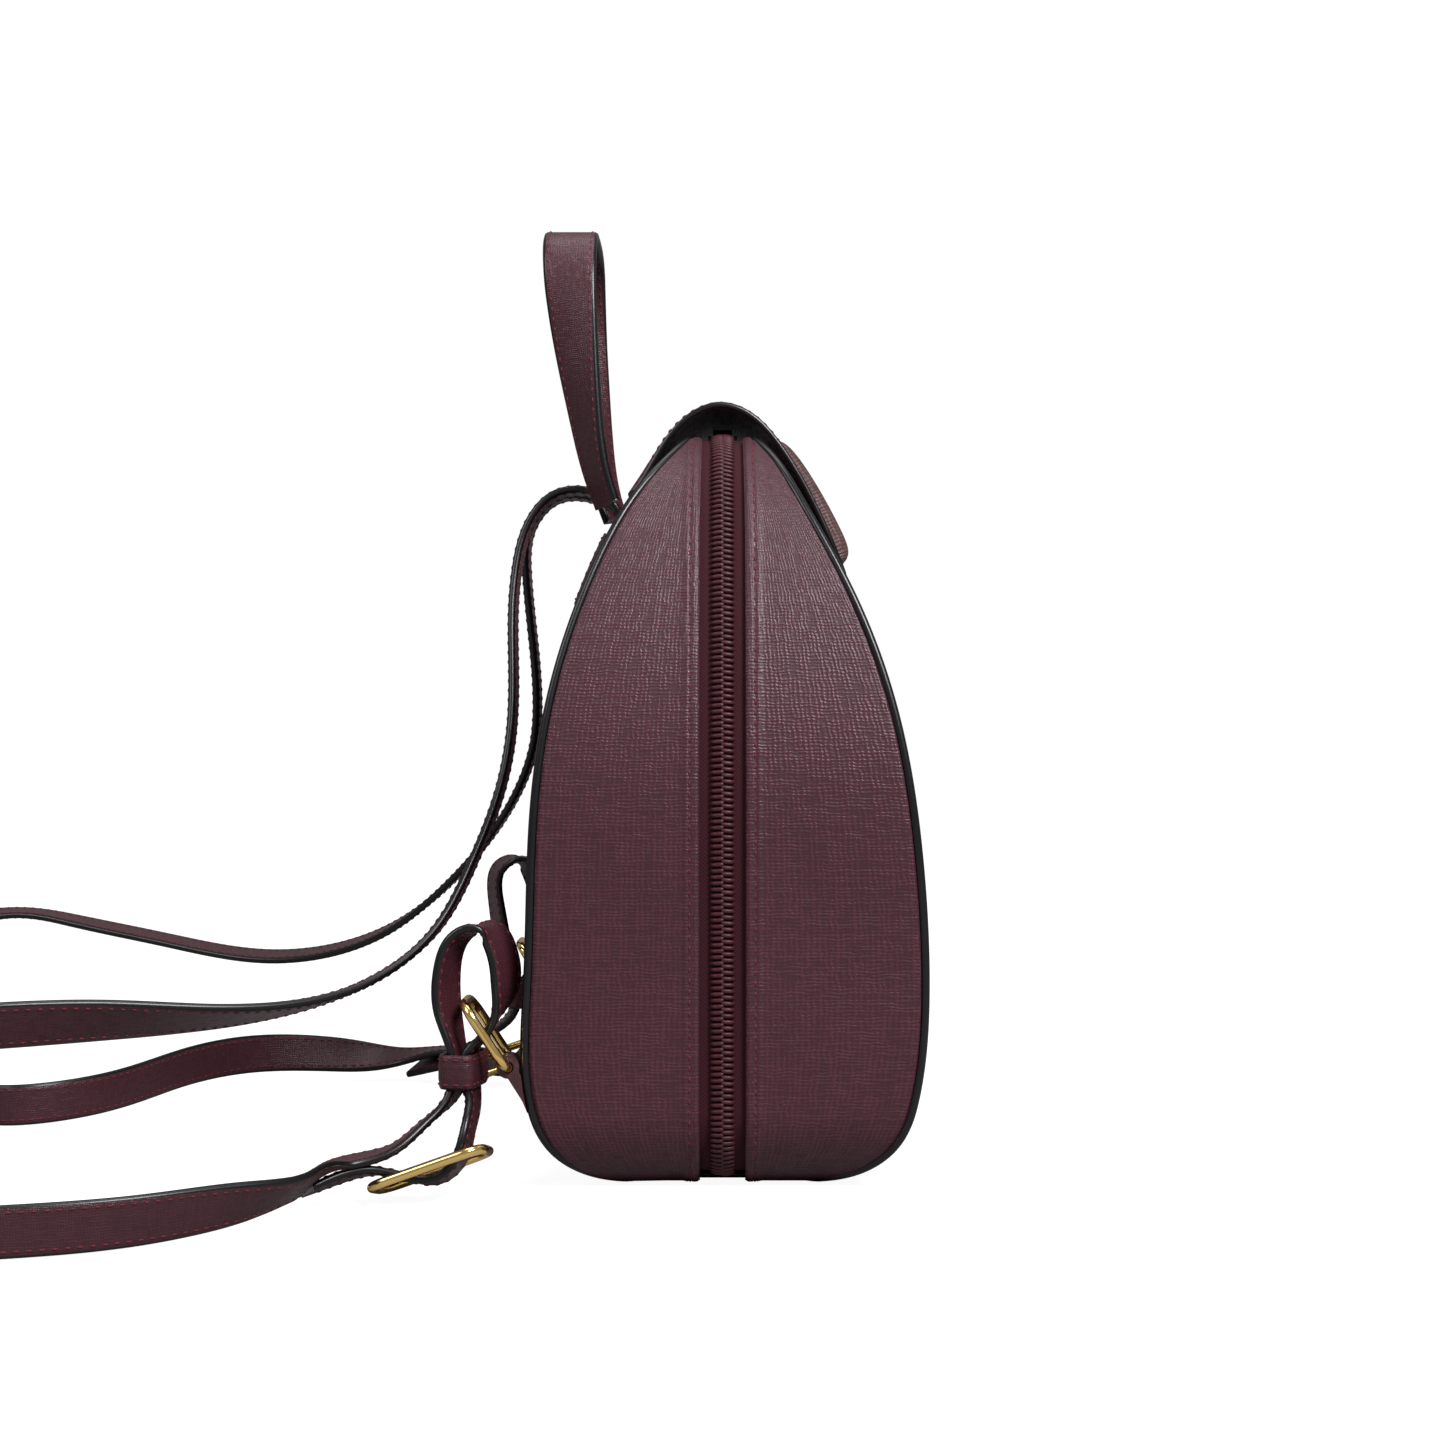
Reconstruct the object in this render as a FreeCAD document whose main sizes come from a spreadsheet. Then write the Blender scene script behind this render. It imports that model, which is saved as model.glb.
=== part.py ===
"""Leather backpack: a zipped clamshell body with a short flap, a top handle and two shoulder straps.

Millimetres. The bag stands on z = 0 with its base centred on the origin. The flap and front face -Y,
the straps and back face +Y, and X runs across the width. The body is the common part of two prisms:
its side outline carried across the width and its front outline carried through the depth.
"""
import FreeCAD, Part
import math
import os

Vec = FreeCAD.Vector
doc = FreeCAD.newDocument("leather_backpack")
sheet = doc.addObject("Spreadsheet::Sheet", "sizes")

SIZES = {
    "body_height": 298, "half_width": 125, "base_corner": 30, "panel_skin": 2, "seam_inset": 3.3,
    "piping_proud": 0.8, "zip_half_slot": 8.7, "coil_half_width": 4.6, "coil_gap": 1.1,
    "tape_skin": 0.8, "base_half_depth": 44, "base_half_width": 102.5, "ridge_half": 9.3,
    "flap_half_width": 62, "flap_skin": 2.2, "patch_half_width": 30, "patch_dome": 3.4,
    "snap_radius": 7, "snap_height": 1.1, "yoke_half_width": 50, "tab_width": 18, "leg_centre": 40,
    "handle_skin": 3.6, "handle_half_span": 42, "handle_top": 386, "handle_corner": 26,
    "handle_foot": 267.5, "strap_width": 18, "strap_skin": 3.0,
    "ring_wire": 3.8, "ring_bend": 7, "ring_width": 28.4, "adjuster_length": 47, "anchor_length": 33,
    "board_length": 180, "board_depth": 60, "board_skin": 2, "fold_width": 12, "lining_skin": 0.8,
    "slider_length": 11, "slider_half_width": 6.2,
    "slider_start": 3, "pull_length": 22, "pull_width": 8, "pull_skin": 1.2,
}
for row, (alias, value) in enumerate(SIZES.items(), start=1):
    sheet.set(f"A{row}", alias)
    sheet.set(f"B{row}", str(value))
    sheet.setAlias(f"B{row}", alias)
doc.recompute()


def size(alias):
    """A driving size read from the sheet."""
    return float(sheet.get(alias))


PARTS = []


def feature(label, shape):
    """Keep a finished shape as a sub-part of the document."""
    piece = doc.addObject("Part::Feature", label)
    piece.Label = label
    piece.Shape = shape
    PARTS.append(piece)
    return piece


def primitive(kind, name, place=(0, 0, 0), turn=None, **sizes):
    """A Part primitive whose sizes are numbers or expressions on the sheet."""
    made = doc.addObject(kind, name)
    for prop, value in sizes.items():
        if isinstance(value, str):
            made.setExpression(prop, value)
        else:
            setattr(made, prop, value)
    made.Placement = FreeCAD.Placement(Vec(*place), turn or FreeCAD.Rotation())
    return made


# ---------------------------------------------------------------- outlines of the body
# Side outline as (y, z), from the front of the flat base up over the ridge and down to its back.
FRONT_SIDE = [(-30, 0), (-40, 1.4), (-52, 5.4), (-66, 17), (-74, 38), (-77.4, 78), (-74.6, 130), (-66, 182),
              (-52, 223.5), (-30, 267.5), (-17, 288.5)]
BACK_SIDE = [(17, 289.5), (33, 270), (52, 233), (65, 192), (72, 145), (74.5, 80), (73.4, 34),
             (66, 16.5), (52, 5.2), (40, 1.3), (30, 0)]
RIDGE_FRONT = (-8, 296)
RIDGE_BACK = (8, 297)


def spline(points):
    """A smooth curve through points."""
    curve = Part.BSplineCurve()
    curve.interpolate(points)
    return curve


def side_curve():
    """The side outline as one curve in the YZ plane, open along the flat base."""
    points = FRONT_SIDE + [RIDGE_FRONT, (0, size("body_height")), RIDGE_BACK] + BACK_SIDE
    return spline([Vec(0, y, z) for y, z in points])


def shifted(curve, inset, axis, count):
    """Points of a curve moved inwards by an inset; its travel direction keeps the inside on one hand."""
    points = []
    first, last = curve.FirstParameter, curve.LastParameter
    for step in range(count + 1):
        at = first + (last - first) * step / count
        along = curve.tangent(at)[0]
        points.append(curve.value(at) + axis.cross(along).normalize() * inset)
    return points


def side_prism(inset, low=None):
    """The body's side outline, moved in by an inset, carried across more than the whole width."""
    points = shifted(side_curve(), inset, Vec(-1, 0, 0), 44)
    floor = inset if low is None else low
    if low is not None:
        points = [Vec(0, p.y, low) if i in (0, 44) else p for i, p in enumerate(points)]
    else:
        points[0].z = points[-1].z = floor
    edges = [spline(points).toShape(), Part.makeLine(points[-1], points[0])]
    face = Part.Face(Part.Wire(edges))
    face.translate(Vec(-200, 0, 0))
    return face.extrude(Vec(400, 0, 0))


# Front outline: half width at a height, above the rounded base corners.
CROWN = [(125, 30), (125, 100), (124.5, 155), (117, 203), (103, 249), (83, 282), (66, 292.5),
         (40, 296.4), (0, 298)]


def front_prism(inset, low=None):
    """The body's front outline, moved in by an inset, carried through more than the whole depth."""
    corner = size("base_corner")
    centre = size("half_width") - corner
    over = [Vec(x, 0, z) for x, z in CROWN] + [Vec(-x, 0, z) for x, z in reversed(CROWN[:-1])]
    crown = shifted(spline(over), inset, Vec(0, -1, 0), 52)
    radius = corner - inset
    sweep = math.pi / 2
    if low is not None:
        sweep = math.acos((size("base_half_width") + 0.5 - centre) / radius)
    bend = Vec(centre + radius * math.cos(sweep / 2), 0, corner - radius * math.sin(sweep / 2))
    foot = Vec(centre + radius * math.cos(sweep), 0, corner - radius * math.sin(sweep))
    right = [Part.Arc(foot, bend, crown[0]).toShape()]
    if low is not None:
        right.append(Part.makeLine(Vec(foot.x, 0, low), foot))
        foot.z = low
    left = [edge.mirror(Vec(0, 0, 0), Vec(1, 0, 0)) for edge in right]
    crown[-1] = Vec(-crown[0].x, 0, crown[0].z)
    bottom = Part.makeLine(Vec(-foot.x, 0, foot.z), foot)
    wire = Part.Wire(Part.__sortEdges__([bottom, spline(crown).toShape()] + right + left))
    face = Part.Face(wire)
    face.translate(Vec(0, -200, 0))
    return face.extrude(Vec(0, 400, 0))


def block(x_low, x_high, y_low, y_high, z_low, z_high):
    """A box given by its limits."""
    box = Part.makeBox(x_high - x_low, y_high - y_low, z_high - z_low)
    box.translate(Vec(x_low, y_low, z_low))
    return box


WIDE = 300
skin = size("panel_skin")
seam = size("seam_inset")
slot = size("zip_half_slot")
ridge = size("ridge_half")
base_depth = size("base_half_depth")
outer_side = side_prism(0)
outer_front = front_prism(0)
side_trim = side_prism(seam)
front_trim = front_prism(seam, low=-1)
lining_side = side_prism(skin + 0.4)
side_ring = outer_side.cut(side_prism(skin))
front_ring = outer_front.cut(front_prism(skin))
wrap = side_ring.common(front_trim)

# ---------------------------------------------------------------- leather panels
low_box = block(-WIDE, WIDE, -base_depth - 0.4, base_depth + 0.2, -5, 20)
front_half = block(-WIDE, WIDE, -WIDE, -ridge, -5, 400)
back_half = block(-WIDE, WIDE, ridge, WIDE, -5, 400)
feature("front_panel", wrap.common(front_half).cut(low_box))
feature("back_panel", wrap.common(back_half).cut(low_box))
base_zone = block(-size("base_half_width"), size("base_half_width"), -base_depth, base_depth, -5, 20)
feature("base_panel", wrap.common(base_zone))

sides = {"left": block(-WIDE, -60, -WIDE, WIDE, -5, 400), "right": block(60, WIDE, -WIDE, WIDE, -5, 400)}
halves = {"front": block(-WIDE, WIDE, -WIDE, -slot, -5, 400),
          "rear": block(-WIDE, WIDE, slot, WIDE, -5, 400)}
gusset = front_ring.common(side_trim)
for side, side_box in sides.items():
    for half, half_box in halves.items():
        feature(f"{half}_gusset_{side}", gusset.common(side_box).common(half_box))

# ---------------------------------------------------------------- piped seams round each gusset
proud = size("piping_proud")
bead = side_prism(-proud, low=0.05).common(front_prism(-proud))
bead = bead.common(block(-WIDE, WIDE, -WIDE, WIDE, 0.05, 400))
bead = bead.cut(side_trim).cut(front_trim)
piping_halves = {"front": block(-WIDE, WIDE, -WIDE, -slot, -5, 292),
                 "rear": block(-WIDE, WIDE, -slot + 0.5, WIDE, -5, 292)}
for side, side_box in sides.items():
    for half, half_box in piping_halves.items():
        feature(f"{half}_piping_{side}", bead.common(side_box).common(half_box))

# ---------------------------------------------------------------- zip: two tapes with a coil row each
gap = size("coil_gap")
tape_top = skin + 0.1
tape = front_prism(tape_top).cut(front_prism(tape_top + size("tape_skin")))
coil = front_prism(0.4).cut(front_prism(tape_top))
above_base = seam + 1
for half, sign in (("front", -1), ("rear", 1)):
    tape_limits = sorted((sign * (gap + 0.1), sign * (slot - 0.3)))
    coil_limits = sorted((sign * gap, sign * size("coil_half_width")))
    feature(f"{half}_zip_tape", tape.common(block(-WIDE, WIDE, *tape_limits, above_base, 400)))
    feature(f"{half}_zip_coil", coil.common(block(-WIDE, WIDE, *coil_limits, above_base, 400)))

# ---------------------------------------------------------------- lining, base board, back stiffener
lining = lining_side.cut(side_prism(skin + 0.4 + size("lining_skin")))
lining = lining.common(front_prism(7))
feature("front_lining", lining.common(block(-WIDE, WIDE, -WIDE, -13, 22, 400)))
feature("back_lining", lining.common(block(-WIDE, WIDE, 13, WIDE, 22, 400)))
stiffener = side_prism(skin + 1.6).cut(side_prism(skin + 3.2))
feature("back_stiffener", stiffener.common(block(-92, 92, 20, WIDE, 30, 238)))
board = primitive("Part::Box", "board_block", (0, 0, 0), Length="sizes.board_length",
                  Width="sizes.board_depth", Height="sizes.board_skin")
board.setExpression("Placement.Base.x", "-sizes.board_length / 2")
board.setExpression("Placement.Base.y", "-sizes.board_depth / 2")
board.setExpression("Placement.Base.z", "sizes.panel_skin + 0.4")
board.Label = "base_board"
PARTS.append(board)

# ---------------------------------------------------------------- flap, closing patch and snap
FLAP_OUTER = [(39.6, 273), (30.2, 287), (18, 301.5), (0, 308), (-13, 303), (-23, 292.5), (-37.5, 268.5),
              (-51, 238)]


def between(curve, start, end, near, far, x_low, x_high, swell=0.0):
    """A bent sheet lying between two distances off a YZ curve; its outer face may swell at mid length."""
    first, last = curve.parameter(Vec(0, *start)), curve.parameter(Vec(0, *end))
    count = 12
    inner, outer = [], []
    for step in range(count + 1):
        at = first + (last - first) * step / count
        away = Vec(1, 0, 0).cross(curve.tangent(at)[0]).normalize()
        rise = swell * math.sin(math.pi * step / count) ** 0.7
        inner.append(curve.value(at) + away * near)
        outer.append(curve.value(at) + away * (far + rise))
    lids = [Part.makeLine(inner[i], outer[i]) for i in (0, -1)]
    wire = Part.Wire(Part.__sortEdges__([spline(inner).toShape(), spline(outer).toShape()] + lids))
    face = Part.Face(wire)
    face.translate(Vec(x_low, 0, 0))
    return face.extrude(Vec(x_high - x_low, 0, 0))


flap_curve = spline([Vec(0, y, z) for y, z in reversed(FLAP_OUTER)])
flap_half = size("flap_half_width")
feature("flap", between(flap_curve, FLAP_OUTER[-1], FLAP_OUTER[0], -size("flap_skin"), 0,
                        -flap_half, flap_half))
patch_half = size("patch_half_width")
feature("flap_patch", between(flap_curve, (-48.5, 243.5), (-21.5, 294.4), 0.05, 1.6,
                              -patch_half, patch_half, size("patch_dome")))

panel_curve = side_curve()


def snap_part(label, alias, curve, at, low):
    """One half of the magnetic snap: a disc standing on the panel or hanging under the flap."""
    place = curve.parameter(Vec(0, *at))
    away = curve.tangent(place)[0].cross(Vec(1, 0, 0)).normalize()
    if away.y > 0:
        away = away * -1
    disc = primitive("Part::Cylinder", f"{label}_disc", curve.value(place) + away * low,
                     FreeCAD.Rotation(Vec(0, 0, 1), away), Radius="sizes.snap_radius", Height=alias)
    disc.Label = label
    PARTS.append(disc)


snap_part("snap_socket", "sizes.snap_height", panel_curve, (-41.2, 246), 0.1)
snap_part("snap_stud", "sizes.snap_height", flap_curve, (-46.3, 249), -size("flap_skin") - 0.1
          - size("snap_height"))

# ---------------------------------------------------------------- yoke and handle tabs on the back
yoke_half = size("yoke_half_width")
feature("yoke", between(panel_curve, (43.0, 253.5), (55.2, 224.5), 4.7, 6.7, -yoke_half, yoke_half))
tab_half = size("tab_width") / 2
for side, sign in (("left", -1), ("right", 1)):
    centre = sign * size("leg_centre")
    feature(f"handle_tab_{side}", between(panel_curve, (39.5, 259.5), (50, 238), 0.2, 3.6,
                                          centre - tab_half, centre + tab_half))

# ---------------------------------------------------------------- handle: an upright loop of strap
HANDLE_SIDE = [(42, 267.5), (45.2, 280), (46.8, 313), (50.6, 350), (52, 386), (75.5, 386), (73, 352),
               (68, 313), (58.5, 280), (50, 267.5)]
span = size("handle_half_span")
top = size("handle_top")
corner = size("handle_corner")


def arch(inset):
    """The handle's front view: an upright arch with rounded shoulders."""
    half, high, radius = span - inset, top - inset, corner - inset
    low = size("handle_foot")
    slant = math.sqrt(0.5)
    bend = Vec(half - radius + radius * slant, 0, high - radius + radius * slant)
    right = [Part.makeLine(Vec(half, 0, low), Vec(half, 0, high - radius)),
             Part.Arc(Vec(half, 0, high - radius), bend, Vec(half - radius, 0, high)).toShape()]
    left = [edge.mirror(Vec(0, 0, 0), Vec(1, 0, 0)) for edge in right]
    lines = [Part.makeLine(Vec(half - radius, 0, high), Vec(radius - half, 0, high)),
             Part.makeLine(Vec(-half, 0, low), Vec(half, 0, low))]
    return Part.Face(Part.Wire(Part.__sortEdges__(right + left + lines))).extrude(Vec(0, 300, 0))


outline = Part.makePolygon([Vec(-WIDE, y, z) for y, z in HANDLE_SIDE + HANDLE_SIDE[:1]])
handle_side = Part.Face(outline).extrude(Vec(2 * WIDE, 0, 0))
feature("handle", handle_side.common(arch(0).cut(arch(size("handle_skin")))))

# ---------------------------------------------------------------- shoulder straps
# Each point of a strap: x, y, z of its middle line and the direction of its width.
FLAT = (1, 0, 0)
HEEL = (1, -0.45, 0)
HALF_HEEL = (1, -0.2, 0)
TURNED = (1, -0.6, 0)
TIPPED = (1, -0.082, -0.235)
LOWER_END = [
    (147, 141, 15.4, FLAT), (140, 124, 19, FLAT), (131, 111.5, 28, FLAT), (124, 100.9, 40, HALF_HEEL),
    (122.8, 100.6, 55, HALF_HEEL), (121.8, 104, 69, HEEL), (120.6, 104.4, 84, HEEL), (119, 99, 97, HEEL),
    (118, 90, 99.5, TURNED), (118, 83.6, 90, TURNED), (118.6, 82.8, 76, HEEL), (119, 86.2, 66, FLAT),
    (119.6, 91, 58.4, FLAT), (122.2, 95.2, 52.5, HALF_HEEL), (123.4, 95.2, 41, HALF_HEEL),
    (131, 94.2, 32, FLAT), (139.5, 94.8, 24.5, TIPPED), (141, 98.5, 14.4, TIPPED), (141, 106, 8.8, TIPPED),
    (141, 116, 9.4, TIPPED), (141, 127.5, 11.9, TIPPED), (145, 140, 10.6, TIPPED),
    (152, 152, 6.8, (0.95, 0, -0.15))]
LEFT_UPPER = [
    (-20, 51.9, 240.4, FLAT), (-20, 46.6, 251.2, FLAT), (-20, 43.2, 257.5, FLAT),
    (-20, 42.8, 264, FLAT), (-20, 46.5, 270.5, FLAT), (-20, 55, 275, FLAT),
    (-20.5, 70, 274, FLAT), (-22.5, 81, 262, FLAT), (-26, 85.8, 245, FLAT), (-31, 87.3, 225, FLAT),
    (-38, 86.6, 200, FLAT), (-46, 86.6, 176, FLAT), (-58, 91, 148, FLAT), (-72, 99, 124, FLAT),
    (-90, 111, 99, FLAT), (-110, 128, 83, FLAT), (-132, 150, 74, (1, 0, -0.12)),
    (-156, 182, 71, (1, 0, -0.5)), (-178, 220, 72.4, (0.6, 0, -0.8)), (-195, 251, 72.8, (0.4, 0, -0.9)),
    (-210, 295, 72, (0.5, 0, -0.85)), (-225, 340, 62, (0.8, 0, -0.6)), (-238, 352, 38, (0.9, 0, -0.5)),
    (-246, 328, 17, (0.5, 0, -0.85)), (-243, 284, 9.6, (0.05, 0, -1)), (-233, 240, 9.4, (0, 0, -1)),
    (-218, 203, 9.4, (0.1, 0, -1)), (-192, 170, 10.2, (0.55, 0, -0.8)), (-168, 151, 11.8, (0.95, 0, -0.25))]
RIGHT_UPPER = [
    (20, 51.9, 240.4, FLAT), (20, 46.6, 251.2, FLAT), (20, 43.2, 257.5, FLAT),
    (20, 42.8, 264, FLAT), (20, 46.5, 270.5, FLAT), (20, 56, 276, FLAT),
    (20.5, 73, 276, FLAT), (22.5, 84, 264, FLAT), (27, 86.5, 244, FLAT), (32, 84.5, 218, FLAT),
    (38, 82.8, 190, FLAT), (45, 84.5, 170, FLAT), (56, 93, 147, FLAT), (72, 110, 122, FLAT),
    (88, 131, 100, FLAT), (105, 158, 80, (1, 0, 0.1)), (120, 189, 68, (1, 0, 0.15)),
    (133, 225, 64, (1, 0, 0.15)), (147, 275, 70.5, (1, 0, 0.12)), (160, 322, 78.5, (1, 0, 0.1)),
    (165, 362, 82, (1, 0, 0.15)), (155, 392, 70, (0.8, 0.2, 0.6)), (122, 397, 42, (0.5, 0.2, 0.85)),
    (80, 378, 18, (0.2, 0, 1)), (42, 346, 10, (0, 0, 1)), (22, 314, 9.4, (0, 0, 1)),
    (42, 281, 11, (0, 0, 1)), (92, 254, 15.5, (0.05, 0, 1)), (128, 226, 17, (0.2, 0, 1)),
    (146, 190, 14, (0.5, 0, 0.8)), (152, 158, 12.2, (0.95, 0, 0.25))]


def strap(label, points):
    """A flat strap: rectangles across a smooth middle line, joined by ruled faces."""
    middle = spline([Vec(*p[:3]) for p in points])
    half, thick = size("strap_width") / 2, size("strap_skin") / 2
    knots = middle.getKnots()
    pieces = 4
    wires = []
    for index in range(pieces * (len(points) - 1) + 1):
        first = min(index // pieces, len(points) - 2)
        share = index / pieces - first
        here = middle.value(knots[first] + (knots[first + 1] - knots[first]) * share)
        along = middle.tangent(knots[first] + (knots[first + 1] - knots[first]) * share)[0]
        eased = share * share * (3 - 2 * share)
        start_wide = Vec(*points[first][3]).normalize()
        end_wide = Vec(*points[first + 1][3]).normalize()
        wide = start_wide * (1 - eased) + end_wide * eased
        wide = (wide - along * wide.dot(along)).normalize()
        out = along.cross(wide)
        corners = [here + wide * half * a + out * thick * b for a, b in ((1, 1), (-1, 1), (-1, -1), (1, -1))]
        wires.append(Part.makePolygon(corners + corners[:1]))
    return feature(label, Part.makeLoft(wires, True, True))


def lower_end(sign, back, lift):
    """The strap's lower end on one side: its loop stands further back and higher where asked."""
    placed = []
    for x, y, z, wide in LOWER_END:
        share = min(max((z - 62) / 36, 0), 1)
        turned = (wide[0], -sign * wide[1], -sign * wide[2])
        placed.append((sign * x, y + back * share, z + lift * share, turned))
    return placed


LOOP_SET = {"left": (-1, 0, 0, LEFT_UPPER), "right": (1, 8, 12, RIGHT_UPPER)}
for side, (sign, back, lift, upper) in LOOP_SET.items():
    strap(f"shoulder_strap_{side}", upper + lower_end(sign, back, lift))


# ---------------------------------------------------------------- rings, keepers and anchor tabs
def ring(label, length, centre, along, across):
    """A ring of round wire: an oblong with well rounded corners, its short runs laid across."""
    wire, bend = size("ring_wire"), size("ring_bend")
    half_long, half_wide = (length - wire) / 2, (size("ring_width") - wire) / 2
    slant = bend * (1 - math.sqrt(0.5))
    edges = []
    for side_x, side_y in ((1, 1), (1, -1), (-1, -1), (-1, 1)):
        tip = Vec(side_x * half_long, side_y * half_wide, 0)
        on_long = tip - Vec(side_x * bend, 0, 0)
        on_wide = tip - Vec(0, side_y * bend, 0)
        middle = tip - Vec(side_x * slant, side_y * slant, 0)
        edges.append(Part.Arc(on_long, middle, on_wide).toShape())
    run = half_long - bend
    rise = half_wide - bend
    edges += [Part.makeLine(Vec(-run, y, 0), Vec(run, y, 0)) for y in (half_wide, -half_wide)]
    edges += [Part.makeLine(Vec(x, -rise, 0), Vec(x, rise, 0)) for x in (half_long, -half_long)]
    path = Part.Wire(Part.__sortEdges__(edges))
    start = path.Edges[0]
    here = start.valueAt(start.FirstParameter)
    round_wire = Part.Wire([Part.makeCircle(wire / 2, here, start.tangentAt(start.FirstParameter))])
    solid = path.makePipeShell([round_wire], True, False)
    turn = FreeCAD.Rotation(Vec(*along), Vec(*across), Vec(0, 0, 0), "XYZ")
    solid.Placement = FreeCAD.Placement(Vec(*centre), turn)
    return feature(label, solid)


def sleeve(label, centre, outer, wall, height, turn):
    """A stitched leather keeper: a rectangular sleeve, open top and bottom, round two strap layers."""
    deep, wide = outer
    shell = Part.makeBox(wide, deep, height, Vec(-wide / 2, -deep / 2, -height / 2))
    bore = Part.makeBox(wide - 2 * wall, deep - 2 * wall, height + 2,
                        Vec(wall - wide / 2, wall - deep / 2, -height / 2 - 1))
    shell = shell.cut(bore)
    shell.rotate(Vec(0, 0, 0), Vec(0, 0, 1), turn)
    shell.translate(Vec(*centre))
    return feature(label, shell)


ANCHOR_FOLD = (81, 47.9)
for side, (sign, back, lift, upper) in LOOP_SET.items():
    ring(f"adjuster_ring_{side}", size("adjuster_length"), (sign * 141, 108, 12.6), (0, -0.94, 0.33),
         (TIPPED[0], -sign * TIPPED[1], -sign * TIPPED[2]))
    ring(f"anchor_ring_{side}", size("anchor_length"), (sign * 119, 89, 60), (0, -0.552, -0.834), FLAT)
    sleeve(f"strap_keeper_{side}", (sign * 122.9, 97.9, 47.3), (15, 25), 1.6, 13, 11.3 * sign)
    fold_y, fold_z = ANCHOR_FOLD
    half_fold = size("fold_width") / 2
    tail = [(70, 22), (75.5, 35), (fold_y + 0.5, fold_z - 3.4), (fold_y - 3.6, fold_z - 0.5), (73.5, 39)]
    tail_face = Part.Face(Part.makePolygon([Vec(sign * 119 - half_fold, y, z) for y, z in tail + tail[:1]]))
    tab = tail_face.extrude(Vec(2 * half_fold, 0, 0))
    start = Vec(sign * 119 - half_fold, fold_y, fold_z)
    tab = tab.fuse(Part.makeCylinder(size("ring_wire") / 2 + 2.4, 2 * half_fold, start, Vec(1, 0, 0)))
    tab = tab.cut(Part.makeCylinder(size("ring_wire") / 2 + 0.35, 2 * half_fold, start, Vec(1, 0, 0)))
    feature(f"anchor_tab_{side}", tab.cut(outer_side.fuse(side_prism(-proud - 0.2, low=0))))

# ---------------------------------------------------------------- zip sliders and their pulls
crown = size("body_height")
half_slide = size("slider_half_width")
for side, sign in (("left", -1), ("right", 1)):
    def slider_box(x_low, x_high, y_half, z_low, z_high):
        """A box centred on the zip, given from the middle of the bag outwards."""
        low, high = sorted((sign * x_low, sign * x_high))
        return block(low, high, -y_half, y_half, crown + z_low, crown + z_high)

    near = size("slider_start")
    far = near + size("slider_length")
    body = slider_box(near, far, half_slide, 0.4, 1.8)
    body = body.fuse(slider_box(near, near + 3, 0.8, -5.4, 0.4))
    body = body.fuse(slider_box(near, far, half_slide, -6.6, -5.2))
    bail = slider_box(near + 2.4, far - 2, 1.4, 1.8, 5).cut(slider_box(near + 4, far - 3.6, 2, 1.8, 3.8))
    feature(f"zip_slider_{side}", body.fuse(bail).removeSplitter())
    root = near + 5.1
    thick = size("pull_skin")
    tag = slider_box(root, root + size("pull_length"), size("pull_width") / 2, 2.2, 2.2 + thick)
    tag = tag.cut(slider_box(root + thick, far - 1.1, 1.9, 1.5, 4))
    feature(f"zip_pull_{side}", tag)

doc.recompute()
for item in doc.Objects:
    if "Invalid" in item.State or "Error" in item.State:
        raise RuntimeError(f"{item.Label} did not compute: {item.State}")
os.makedirs("parts", exist_ok=True)
for old in os.listdir("parts"):
    os.remove(os.path.join("parts", old))
for piece in PARTS:
    if piece.Shape.isNull() or not piece.Shape.isValid() or piece.Shape.Volume <= 0:
        raise RuntimeError(f"{piece.Label} has no valid solid")
    piece.Shape.exportStep(f"parts/{piece.Label}.step")
    print(piece.Label, round(piece.Shape.Volume / 1000, 2), len(piece.Shape.Solids), piece.Shape.BoundBox)
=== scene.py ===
import bpy
import numpy as np
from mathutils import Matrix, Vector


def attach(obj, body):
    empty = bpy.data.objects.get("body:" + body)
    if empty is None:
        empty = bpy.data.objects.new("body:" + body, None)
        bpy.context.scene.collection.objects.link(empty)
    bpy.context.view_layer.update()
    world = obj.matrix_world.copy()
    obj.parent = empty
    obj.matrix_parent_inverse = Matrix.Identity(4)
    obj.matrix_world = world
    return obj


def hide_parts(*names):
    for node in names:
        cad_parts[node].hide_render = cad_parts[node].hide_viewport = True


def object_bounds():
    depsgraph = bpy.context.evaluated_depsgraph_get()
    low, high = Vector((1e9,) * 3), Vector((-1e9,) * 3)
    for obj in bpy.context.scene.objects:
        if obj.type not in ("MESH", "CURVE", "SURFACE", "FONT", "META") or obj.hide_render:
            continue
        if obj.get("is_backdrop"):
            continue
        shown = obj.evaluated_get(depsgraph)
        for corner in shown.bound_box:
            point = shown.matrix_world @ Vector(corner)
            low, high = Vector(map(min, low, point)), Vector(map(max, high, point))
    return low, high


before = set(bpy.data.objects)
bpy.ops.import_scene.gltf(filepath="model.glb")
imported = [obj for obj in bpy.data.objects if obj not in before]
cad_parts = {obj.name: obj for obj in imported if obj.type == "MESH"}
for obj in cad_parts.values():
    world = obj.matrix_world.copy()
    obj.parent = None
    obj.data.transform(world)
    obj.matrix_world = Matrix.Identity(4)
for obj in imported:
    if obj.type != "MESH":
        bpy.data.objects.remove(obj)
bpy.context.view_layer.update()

# ---------------------------------------------------------------- studio
# A level camera looks at the bag's left side from one metre off its middle, over a plain pale floor.
# Large soft lights wrap the leather from above and from both ends of the bag, and the camera sees the
# floor and the world behind it lifted to white.
camera_data = bpy.data.cameras.new("camera")
camera_data.lens = 57.8
camera_data.sensor_width = 36.0
camera = bpy.data.objects.new("camera", camera_data)
camera.location = (-1.0, 0.0, 0.178)
camera.rotation_euler = (np.pi / 2, 0.0, -np.pi / 2)
bpy.context.scene.collection.objects.link(camera)
bpy.context.scene.camera = camera

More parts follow.
